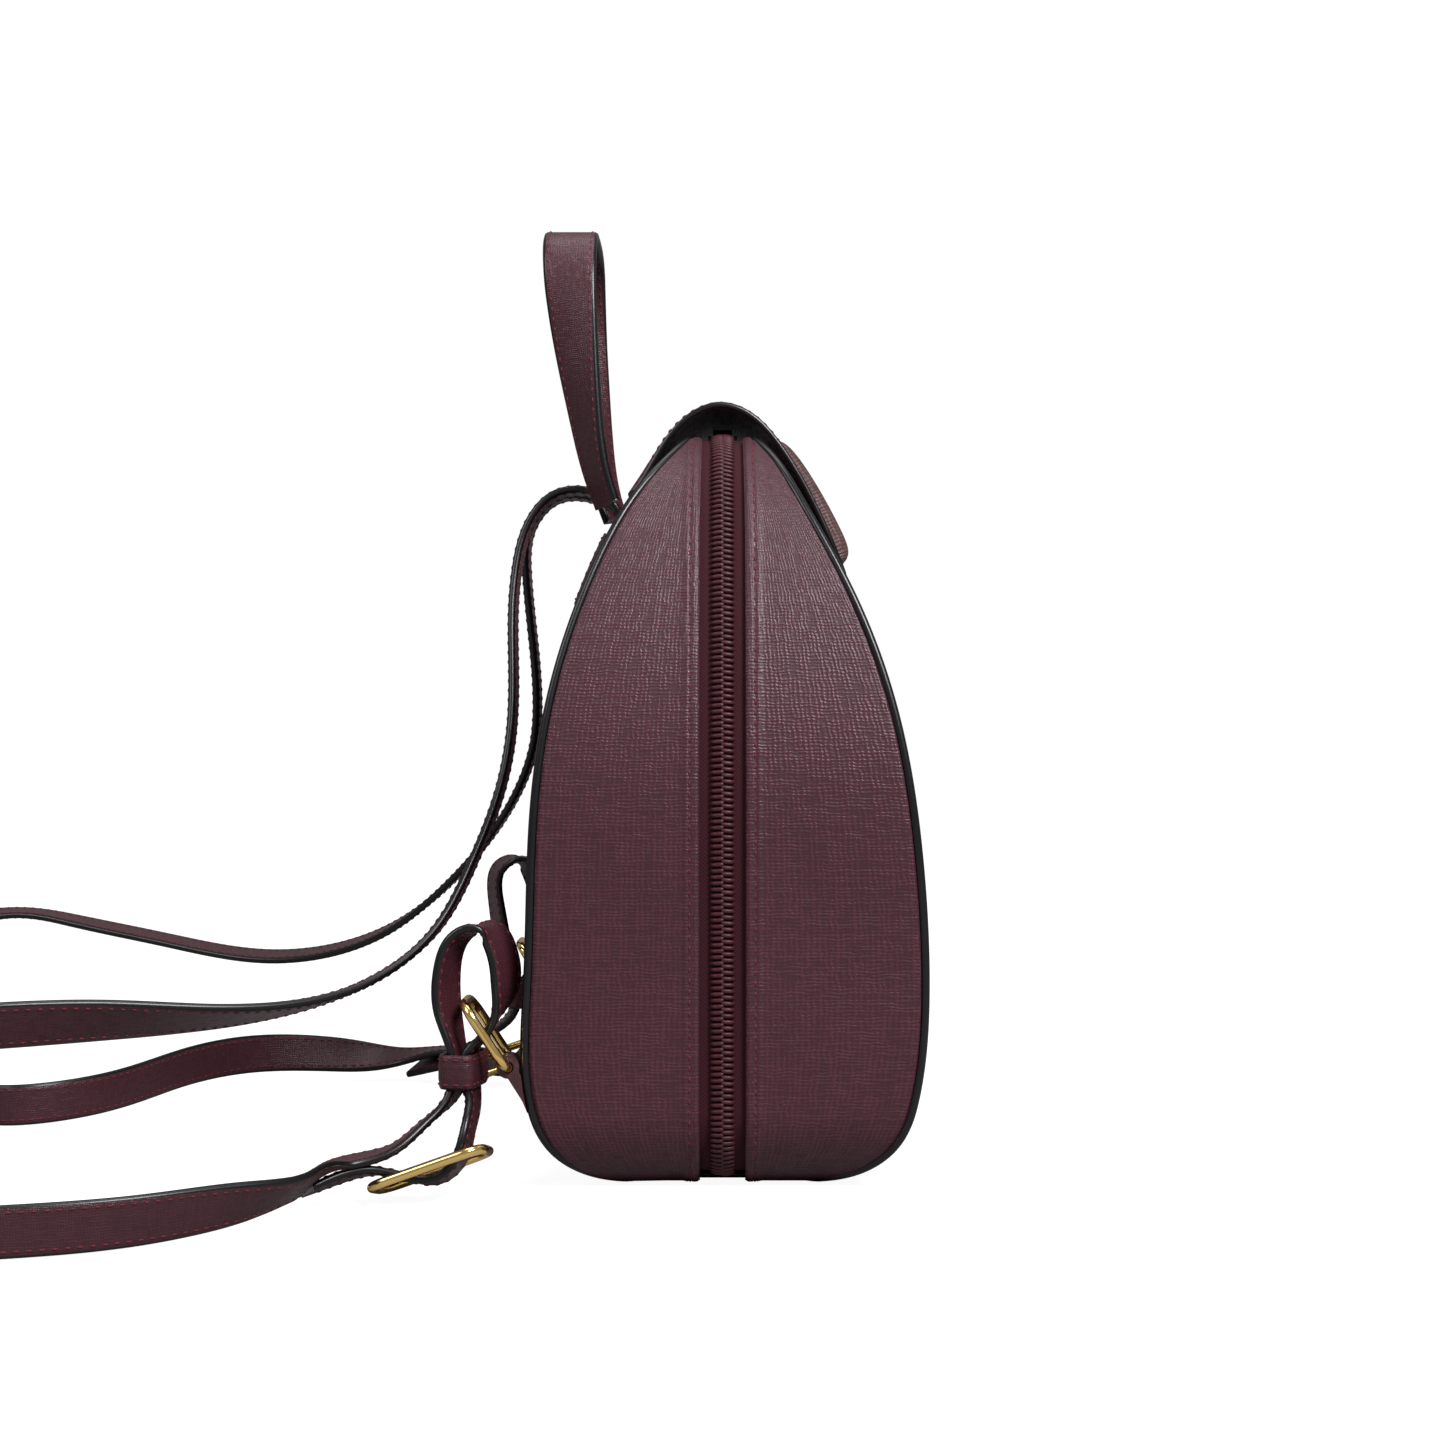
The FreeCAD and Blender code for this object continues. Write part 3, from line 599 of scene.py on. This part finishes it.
def coil_row(half):
    """A row of coil loops: each loop is a bent six-sided rod, a flat oval in plan, that leaves the tape and
    arches over to just past the middle of the zip; the other row's loops sit half a pitch on."""
    sign = half_sign[half]
    run = np.linalg.norm(np.diff(zip_way, axis=0), axis=1).sum()
    count = int(run / COIL_PITCH)
    both = evenly(np.hstack([zip_way, zip_out]), 2 * count + 1)
    both = both[(0 if sign < 0 else 1)::2][:count]
    middle, out = both[:, :3], unit(both[:, 3:])
    along = np.cross(np.array([0.0, 1.0, 0.0]), out)
    share = np.linspace(0, 1, 7)
    reach = sign * (0.0046 - 0.0052 * np.sin(np.pi * share * 0.5) ** 0.8)
    height = -0.0012 + 0.0009 * np.sin(np.pi * np.clip(share * 1.05, 0, 1)) ** 0.6
    slip = (share - 0.5) * 0.0004
    rod = (middle[:, None] + np.array([0.0, 1.0, 0.0]) * reach[None, :, None]
           + out[:, None] * height[None, :, None] + along[:, None] * slip[None, :, None])
    turn = np.arange(6) * np.pi / 3
    thick = COIL_RADIUS * np.array([0.9, 1.1, 1.15, 1.15, 1.15, 1.2, 0.8])
    ring = (rod[:, :, None] + out[:, None, None] * (thick[:, None] * np.sin(turn))[None, :, :, None]
            + along[:, None, None] * (1.25 * thick[:, None] * np.cos(turn))[None, :, :, None])
    faces = rod_faces(count, 7)
    faces = faces if sign > 0 else faces[:, ::-1]
    return add_piece(f"{half}_coil_loops", ring.reshape(-1, 3), faces.tolist(), [nylon_coil], shell_of[half],
                     (f"{half}_zip_coil",))


for half in half_sign:
    coil_row(half)

# ---------------------------------------------------------------- flap
# A single short flap of the grained leather, sewn under the yoke, bends over the ridge and down the
# front. Its cut edges are painted dark, and a padded patch at its tip hides the magnetic snap.
pad_leather = grained_leather("pad_leather", (0.022, 0.009, 0.010), (0.125, 0.062, 0.060),
                              cell=0.0019, grain_depth=0.0007, roughness=0.5)
FLAP = 0.001 * np.array([(39.6, 273), (30.2, 287), (18, 301.5), (0, 308), (-13, 303), (-23, 292.5),
                         (-37.5, 268.5), (-51, 238)])
FLAP_HALF = 0.062
FLAP_THICK = 0.0022
FLAP_HEM = 0.0035
FLAP_CORNER = 0.010
PATCH_HALF = 0.030
PATCH_FROM, PATCH_TO = 0.555, 0.955
PATCH_THICK = 0.0012
flap_line = through(FLAP, 90)
flap_along = tangents(flap_line)
flap_out = np.stack([-flap_along[:, 1], flap_along[:, 0]], axis=1)
flap_out *= np.sign(flap_out[len(flap_out) // 2, 1])


def flap_surface(down, across, lift):
    """Points of the flap: its side line carried across, drooping at both sides behind the ridge."""
    at = down * (len(flap_line) - 1)
    pick = np.arange(len(flap_line))
    y = np.interp(at, pick, flap_line[:, 0])
    z = np.interp(at, pick, flap_line[:, 1])
    out_y = np.interp(at, pick, flap_out[:, 0])
    out_z = np.interp(at, pick, flap_out[:, 1])
    rear = np.clip((0.36 - down) / 0.3, 0, 1)
    droop = -(0.0003 + 0.0032 * rear) * (across / FLAP_HALF) ** 4 + lift
    return np.stack([across, y + out_y * droop, z + out_z * droop], axis=-1)


down, over = np.meshgrid(np.linspace(0, 1, 91), np.linspace(-1, 1, 61), indexing="ij")
tip = np.clip((down - 0.86) / 0.14, 0, 1)
corner_cut = FLAP_CORNER * (1 - np.sqrt(np.maximum(1 - tip**2, 0)))
flap_grid = flap_surface(down, over * (FLAP_HALF - corner_cut), 0.0)
sheet_piece("flap_leather", flap_grid[:, ::-1], FLAP_THICK, "flap", burgundy, ("flap",),
            edge_paint)
for side, sign in side_sign.items():
    share = np.linspace(0.02, 0.9, 120)
    beside = np.full(120, sign * (FLAP_HALF - FLAP_HEM))
    row = flap_surface(share, beside, 0.0001)
    stitch_row(f"flap_stitches_{side}", row, flap_surface(share, beside, 0.01) - row, "flap")

down, over = np.meshgrid(np.linspace(0, 1, 49), np.linspace(-1, 1, 41), indexing="ij")
crowned = ((1 - np.abs(2 * down - 1) ** 8) * (1 - np.abs(over) ** 8)) ** 0.5
lift = 0.0012 + 0.0044 * crowned + 0.0026 * down * crowned
lift *= np.where((np.abs(over) > 0.999) | (np.abs(2 * down - 1) > 0.999), 0.1, 1.0)
patch_grid = flap_surface(PATCH_FROM + (PATCH_TO - PATCH_FROM) * down, over * PATCH_HALF, lift)
patch = sheet_piece("flap_patch_pad", patch_grid[:, ::-1], PATCH_THICK, "flap", pad_leather,
                    ("flap_patch",), edge_paint)

# ---------------------------------------------------------------- yoke
# A shaped patch of the textured leather, sewn down all round over the ends of the handle and the
# shoulder straps, high on the back. Its edges turn in towards the panel at both ends.
YOKE_HALF, YOKE_OFF, YOKE_THICK = 0.050, 0.0068, 0.002
yoke_rows = side_line[(rows > top_row) & (side_line[:, 1] < 0.2535) & (side_line[:, 1] > 0.2245)]
yoke_rows = evenly(yoke_rows, 30)
yoke_along = tangents(yoke_rows)
yoke_out = np.stack([-yoke_along[:, 1], yoke_along[:, 0]], axis=1)
over = np.linspace(-1, 1, 81)
edge_drop = 0.0022 * np.abs(over) ** 14
y = yoke_rows[:, 0][:, None] + yoke_out[:, 0][:, None] * (YOKE_OFF - edge_drop)[None, :]
z = yoke_rows[:, 1][:, None] + yoke_out[:, 1][:, None] * (YOKE_OFF - edge_drop)[None, :]
yoke_grid = np.stack([np.broadcast_to(over * YOKE_HALF, y.shape), y, z], axis=-1)
sheet_piece("yoke_leather", yoke_grid, YOKE_THICK, "rear_shell", pad_leather, ("yoke",),
            pad_leather)
yoke_seams = {"high": yoke_grid[2, 3:-3], "low": yoke_grid[-3, 3:-3],
                "left": yoke_grid[2:-2, 3], "right": yoke_grid[2:-2, -4]}
for name, row in yoke_seams.items():
    stitch_row(f"yoke_stitches_{name}", row, np.broadcast_to([0.0, 0.9, 0.4], row.shape), "rear_shell")

# ---------------------------------------------------------------- straps and handle
# Every strap is two layers of leather glued and sewn back to back, with the cut edges painted black. A
# stitch row runs 2.5 mm in from each edge on both faces.
strap_leather = grained_leather("strap_leather", (0.026, 0.0055, 0.0085), (0.066, 0.018, 0.026),
                                cell=0.0010, grain_depth=0.00022, roughness=0.38)
STRAP_WIDTH = 0.018
STRAP_THICK = 0.003
STITCH_INSET = 0.0025
STITCH_SUNK = 0.00004


def ribbon_piece(name, line, wide, width, thick, body, replaces):
    """A flat strap: an eight-by-two rounded oblong carried along a line, its width laid along a given
    direction squared to the line. The two faces are leather and the narrow sides are edge paint."""
    along = tangents(line)
    wide = unit(wide - along * (wide * along).sum(1, keepdims=True))
    out = np.cross(along, wide)
    half = np.broadcast_to(np.asarray(width) / 2, (len(line),))
    flat = thick / 2
    soft = flat * 0.75
    turn = np.linspace(-np.pi / 2, np.pi / 2, 5)
    round_in, round_up = np.cos(turn) * soft - soft, np.sin(turn) * flat
    leftwards, rightwards = np.linspace(1, -1, 7)[1:-1], np.linspace(-1, 1, 7)[1:-1]
    side_w = np.concatenate([np.ones(5), leftwards, -np.ones(5), rightwards])
    side_in = np.concatenate([round_in, np.zeros(5), -round_in, np.zeros(5)])
    side_t = np.concatenate([round_up, np.full(5, flat), -round_up, np.full(5, -flat)])
    grid = (line[:, None] + wide[:, None] * (half[:, None] * side_w[None] + side_in[None])[..., None]
            + out[:, None] * side_t[None, :, None])
    ring = grid.shape[1]
    faces = grid_faces(len(line), ring, around=True)
    band = np.tile(np.arange(ring), len(line) - 1)
    painted = ((band < 4) | ((band >= 10) & (band < 14))).astype(int)
    caps = []
    for start in (0, (len(line) - 1) * ring):
        top_ids = start + np.arange(4, 11)
        low_ids = start + np.concatenate([[0], np.arange(19, 13, -1)])
        caps.append(np.stack([top_ids[:-1], top_ids[1:], low_ids[1:], low_ids[:-1]], axis=1))
        corners = [[0, 1, 3, 4], [1, 2, 2, 3], [10, 11, 13, 14], [11, 12, 12, 13]]
        caps.append(start + np.array(corners))
    caps[2], caps[3] = caps[2][:, ::-1], caps[3][:, ::-1]
    end_faces = np.vstack(caps)
    run = np.concatenate([[0.0], np.cumsum(np.linalg.norm(np.diff(line, axis=0), axis=1))])
    shape = (len(line), ring)
    uv = np.stack([np.broadcast_to(side_w * np.mean(width) / 2, shape),
                   np.broadcast_to(run[:, None], shape)], axis=-1)
    all_faces = [tuple(dict.fromkeys(f)) for f in np.vstack([faces, end_faces]).tolist()]
    slots = np.concatenate([painted, np.ones(len(end_faces), int)])
    piece = add_piece(name, grid.reshape(-1, 3), all_faces, [strap_leather, edge_paint], body,
                      replaces, uv.reshape(-1, 2), slots)
    for face_name, face in (("outer", 1.0), ("inner", -1.0)):
        for edge_name, edge in (("near", -1.0), ("far", 1.0)):
            sideways = wide * (edge * (half - STITCH_INSET))[:, None]
            row = line + sideways + out * (face * (flat - STITCH_SUNK))
            stitch_row(f"{name}_{face_name}_{edge_name}_stitches", row[3:-3], out[3:-3] * face, body)
    return piece


# The handle: an upright loop, as wide as a hand, whose feet twist flat against the back.
HANDLE_WAY = 0.001 * np.array([
    (-39.6, 47.6, 267.8), (-40.2, 51.4, 279), (-40.3, 56.6, 305), (-40.2, 61.2, 340), (-38.5, 63.2, 364),
    (-30, 63.6, 379), (-16, 63.7, 384), (0, 63.7, 384.6), (16, 63.7, 384), (30, 63.6, 379),
    (38.5, 63.2, 364), (40.2, 61.2, 340), (40.3, 56.6, 305), (40.2, 51.4, 279), (39.6, 47.6, 267.8)])
HANDLE_TOP_WIDTH, HANDLE_NARROWING, HANDLE_THICK = 0.0227, 0.0052, 0.0036
TWIST_TOP, TWIST_RUN = 0.376, 0.108
handle_line = through(HANDLE_WAY, 220)
foot = np.clip((TWIST_TOP - handle_line[:, 2]) / TWIST_RUN, 0, 1)
foot_twist = -0.98 * np.sin(foot * np.pi / 2) ** 1.3 * np.sign(handle_line[:, 0])
handle_wide = np.stack([np.sin(foot_twist), np.cos(foot_twist), 0.0 * foot], axis=1)
handle_width = HANDLE_TOP_WIDTH - HANDLE_NARROWING * foot
ribbon_piece("handle_strap", handle_line, handle_wide, handle_width, HANDLE_THICK, "handle", ("handle",))

# The shoulder straps: x, y, z of the strap's middle line and the direction of its width at each point.
FLAT = (1, 0, 0)
HEEL = (1, -0.45, 0)
HALF_HEEL = (1, -0.2, 0)
TURNED = (1, -0.6, 0)
TIPPED = (1, -0.082, -0.235)
LOWER_END = [
    (147, 141, 15.4, FLAT), (140, 124, 19, FLAT), (131, 111.5, 28, FLAT), (124, 100.9, 40, HALF_HEEL),
    (122.8, 100.6, 55, HALF_HEEL), (121.8, 104, 69, HEEL), (120.6, 104.4, 84, HEEL), (119, 99, 97, HEEL),
    (118, 90, 99.5, TURNED), (118, 83.6, 90, TURNED), (118.6, 82.8, 76, HEEL), (119, 86.2, 66, FLAT),
    (119.6, 91, 58.4, FLAT), (122.2, 95.2, 52.5, HALF_HEEL), (123.4, 95.2, 41, HALF_HEEL),
    (131, 94.2, 32, FLAT), (139.5, 94.8, 24.5, TIPPED), (141, 98.5, 14.4, TIPPED), (141, 106, 8.8, TIPPED),
    (141, 116, 9.4, TIPPED), (141, 127.5, 11.9, TIPPED), (145, 140, 10.6, TIPPED),
    (152, 152, 6.8, (0.95, 0, -0.15))]
LEFT_UPPER = [
    (-20, 51.9, 240.4, FLAT), (-20, 46.6, 251.2, FLAT), (-20, 43.2, 257.5, FLAT), (-20, 42.8, 264, FLAT),
    (-20, 46.5, 270.5, FLAT), (-20, 55, 275, FLAT), (-20.5, 70, 274, FLAT), (-22.5, 81, 262, FLAT),
    (-26, 85.8, 245, FLAT), (-31, 87.3, 225, FLAT), (-38, 86.6, 200, FLAT), (-46, 86.6, 176, FLAT),
    (-58, 91, 148, FLAT), (-72, 99, 124, FLAT), (-90, 111, 99, FLAT), (-110, 128, 83, FLAT),
    (-132, 150, 74, (1, 0, -0.12)), (-156, 182, 71, (1, 0, -0.5)), (-178, 220, 72.4, (0.6, 0, -0.8)),
    (-195, 251, 72.8, (0.4, 0, -0.9)), (-210, 295, 72, (0.5, 0, -0.85)), (-225, 340, 62, (0.8, 0, -0.6)),
    (-238, 352, 38, (0.9, 0, -0.5)), (-246, 328, 17, (0.5, 0, -0.85)), (-243, 284, 9.6, (0.05, 0, -1)),
    (-233, 240, 9.4, (0, 0, -1)), (-218, 203, 9.4, (0.1, 0, -1)), (-192, 170, 10.2, (0.55, 0, -0.8)),
    (-168, 151, 11.8, (0.95, 0, -0.25))]
RIGHT_UPPER = [
    (20, 51.9, 240.4, FLAT), (20, 46.6, 251.2, FLAT), (20, 43.2, 257.5, FLAT), (20, 42.8, 264, FLAT),
    (20, 46.5, 270.5, FLAT), (20, 56, 276, FLAT), (20.5, 73, 276, FLAT), (22.5, 84, 264, FLAT),
    (27, 86.5, 244, FLAT), (32, 84.5, 218, FLAT), (38, 82.8, 190, FLAT), (45, 84.5, 170, FLAT),
    (56, 93, 147, FLAT), (72, 110, 122, FLAT), (88, 131, 100, FLAT), (105, 158, 80, (1, 0, 0.1)),
    (120, 189, 68, (1, 0, 0.15)), (133, 225, 64, (1, 0, 0.15)), (147, 275, 70.5, (1, 0, 0.12)),
    (160, 322, 78.5, (1, 0, 0.1)), (165, 362, 82, (1, 0, 0.15)), (155, 392, 70, (0.8, 0.2, 0.6)),
    (122, 397, 42, (0.5, 0.2, 0.85)), (80, 378, 18, (0.2, 0, 1)), (42, 346, 10, (0, 0, 1)),
    (22, 314, 9.4, (0, 0, 1)), (42, 281, 11, (0, 0, 1)), (92, 254, 15.5, (0.05, 0, 1)),
    (128, 226, 17, (0.2, 0, 1)), (146, 190, 14, (0.5, 0, 0.8)), (152, 158, 12.2, (0.95, 0, 0.25))]
LOOP_SET = {"left": (-1, 0, 0, LEFT_UPPER), "right": (1, 8, 12, RIGHT_UPPER)}


def strap_rows(sign, back, lift, upper):
    """The strap's points in metres with its width directions; on one side the loop stands higher."""
    x, y, z, wide = zip(*LOWER_END)
    x, y, z, wide = np.array(x), np.array(y), np.array(z), np.array(wide, float)
    rise = np.clip((z - 62) / 36, 0, 1)
    low = np.stack([sign * x, y + back * rise, z + lift * rise], axis=1)
    low_wide = wide * (1, -sign, -sign)
    places = np.vstack([[p[:3] for p in upper], low])
    widths = unit(np.vstack([np.array([p[3] for p in upper], float), low_wide]))
    return 0.001 * places, widths


for side, setting in LOOP_SET.items():
    places, widths = strap_rows(*setting)
    both = through(np.hstack([places, widths * 0.001]), 760)
    ribbon_piece(f"shoulder_strap_leather_{side}", both[:, :3], unit(both[:, 3:]), STRAP_WIDTH, STRAP_THICK,
                 "rear_shell", (f"shoulder_strap_{side}",))

# ---------------------------------------------------------------- keepers
# A narrow band of the strap leather, sewn into a loop with its cut edges painted, holds the strap's two
# layers together above the slide ring. Stitches run round it beside both edges.
KEEPER_LONG, KEEPER_DEEP, KEEPER_BEND = 0.0117, 0.0063, 0.0035
KEEPER_RISE = 0.0065
KEEPER_THICK = 0.0018
KEEPER_HEEL = np.radians(11.3)


def oblong(half_long, half_wide, bend, steps, count):
    """A closed oblong whose corners are quarter circles in a number of steps, read at equal lengths."""
    turn = np.linspace(0, np.pi / 2, steps)
    quarter = bend * np.stack([np.cos(turn), np.sin(turn)], axis=1) + (half_long - bend, half_wide - bend)
    whole = np.vstack([quarter, quarter[::-1] * (-1, 1), -quarter, quarter[::-1] * (1, -1), quarter[:1]])
    return evenly(whole, count)


for side, sign in side_sign.items():
    centre = 0.001 * np.array([sign * 122.9, 97.9, 47.3])
    loop = oblong(KEEPER_LONG, KEEPER_DEEP, KEEPER_BEND, 6, 97)
    loop_out = unit(np.stack([np.gradient(loop[:, 1]), -np.gradient(loop[:, 0])], axis=1))
    heel_cos, heel_sin = np.cos(KEEPER_HEEL), np.sin(KEEPER_HEEL) * sign
    swing = np.array([[heel_cos, -heel_sin], [heel_sin, heel_cos]])
    loop, loop_out = loop @ swing.T, loop_out @ swing.T
    rise = np.linspace(-1, 1, 15)
    dome = 0.0008 * (1 - np.abs(rise) ** 6) - 0.0003 * np.exp(-((np.abs(rise) - 0.62) / 0.09) ** 2)
    ring_x = loop[:-1, 0][:, None] + loop_out[:-1, 0][:, None] * dome[None]
    ring_y = loop[:-1, 1][:, None] + loop_out[:-1, 1][:, None] * dome[None]
    ring_z = np.broadcast_to(centre[2] + KEEPER_RISE * rise, ring_x.shape)
    grid = np.swapaxes(np.stack([centre[0] + ring_x, centre[1] + ring_y, ring_z], axis=-1), 0, 1)
    faces = grid_faces(grid.shape[0], grid.shape[1], around=True)
    band = add_piece(f"strap_keeper_band_{side}", grid.reshape(-1, 3), faces.tolist(),
                     [strap_leather, edge_paint], "rear_shell", (f"strap_keeper_{side}",),
                     grid_uv(grid))
    thicken(band, KEEPER_THICK)
    row_out = np.hstack([loop_out, np.zeros((len(loop_out), 1))])
    for name, level in (("high", 12), ("low", 2)):
        row = np.vstack([grid[level], grid[level][:1]])
        stitch_row(f"strap_keeper_{name}_stitches_{side}", row, row_out, "rear_shell")

# ---------------------------------------------------------------- rings
# The anchor rings and the adjuster rings are oblongs of cast brass wire with a polished gold plate. The
# anchor rings hang in leather tabs on the back, and the straps run through the adjuster rings.
gold, gold_tree, gold_shader = new_material("polished_gold", (1.0, 0.70, 0.25), 0.12, 0.5, 1.0)
gold_where = add_node(gold_tree, "ShaderNodeTexCoord")
gold_noise = add_node(gold_tree, "ShaderNodeTexNoise", Scale=700.0, Detail=3.0)
gold_range = add_node(gold_tree, "ShaderNodeMapRange")
gold_range.inputs["To Min"].default_value = 0.08
gold_range.inputs["To Max"].default_value = 0.2
gold_tree.links.new(gold_where.outputs["Object"], gold_noise.inputs["Vector"])
gold_tree.links.new(gold_noise.outputs["Fac"], gold_range.inputs["Value"])
gold_tree.links.new(gold_range.outputs["Result"], gold_shader.inputs["Roughness"])
ADJUSTER_LENGTH, ANCHOR_LENGTH = 0.047, 0.033
RING_WIRE = 0.0038
RING_WIDTH = 0.0284
RING_BEND = 0.007
RING_SIDES = 128
WIRE_SIDES = 16


def ring_piece(name, length, centre, along, across, body, replaces):
    """An oblong ring of round wire: a closed line of straight runs and quarter circles, with the wire's
    circle carried round it."""
    half_long, half_wide = (length - RING_WIRE) / 2, (RING_WIDTH - RING_WIRE) / 2
    flat = oblong(half_long, half_wide, RING_BEND, 10, RING_SIDES + 1)[:-1]
    along = unit(np.array(along, float))
    across = unit(np.array(across, float))
    line = np.array(centre) + flat[:, :1] * along + flat[:, 1:] * across
    way = unit(np.roll(line, -1, axis=0) - np.roll(line, 1, axis=0))
    up = np.cross(along, across)
    out = np.cross(way, up)
    around = np.arange(WIRE_SIDES) * 2 * np.pi / WIRE_SIDES
    circle = out[:, None] * np.cos(around)[None, :, None] + up * np.sin(around)[None, :, None]
    grid = line[:, None] + RING_WIRE / 2 * circle
    faces = grid_faces(RING_SIDES + 1, WIRE_SIDES, around=True) % (RING_SIDES * WIRE_SIDES)
    return add_piece(name, grid.reshape(-1, 3), faces.tolist(), [gold], body, replaces)


for side, sign in side_sign.items():
    ring_piece(f"adjuster_ring_wire_{side}", ADJUSTER_LENGTH, (sign * 0.141, 0.108, 0.0126),
               (0, -0.94, 0.33), (TIPPED[0], -sign * TIPPED[1], -sign * TIPPED[2]),
               f"adjuster_ring_{side}", (f"adjuster_ring_{side}",))
    ring_piece(f"anchor_ring_wire_{side}", ANCHOR_LENGTH, (sign * 0.119, 0.089, 0.060),
               (0, -0.552, -0.834), FLAT, f"anchor_ring_{side}", (f"anchor_ring_{side}",))

# ---------------------------------------------------------------- inside and small parts
# The lining is woven cloth glued over fibre board stiffeners. The tabs are leather, the zip's sliders and
# pulls are cast and painted near black as painted shade that stands for the shadow under the flap where
# they sit, and the two halves of the snap have the rings' plate.
tab_leather = grained_leather("tab_leather", (0.028, 0.010, 0.012), (0.080, 0.030, 0.034),
                              cell=0.0012, grain_depth=0.0002, roughness=0.45, flat_map=False)
# Painted shade: the sliders and pulls get a near-black burgundy that stands for the shadow under the flap.
under_flap_shade_finish = raised_finish("zip_lacquer", (0.016, 0.004, 0.006), 0.25, 0.5,
                        "ShaderNodeTexNoise", 0.2, 0.0001, Scale=600.0, Detail=2.0)
lining_cloth = raised_finish("lining_cloth", (0.080, 0.045, 0.038), 0.9, 0.2, "ShaderNodeTexWave", 0.5,
                             0.0002, bands_direction="Z", Scale=300.0, Distortion=0.5)
fibre_board = clouded_finish("fibre_board", (0.20, 0.15, 0.10), 0.9, 0.2, (0.15, 0.11, 0.07),
                             (0.26, 0.20, 0.14), 900.0, 4.0)
finish_of = {
    under_flap_shade_finish: ("zip_slider_left", "zip_slider_right", "zip_pull_left", "zip_pull_right"),
    gold: ("snap_socket", "snap_stud"),
    lining_cloth: ("front_lining", "back_lining"),
    fibre_board: ("base_board", "back_stiffener"),
    tab_leather: ("handle_tab_left", "handle_tab_right", "anchor_tab_left", "anchor_tab_right")}
for finish, nodes in finish_of.items():
    for node in nodes:
        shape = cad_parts[node]
        shape.data.materials.clear()
        shape.data.materials.append(finish)

low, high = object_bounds()
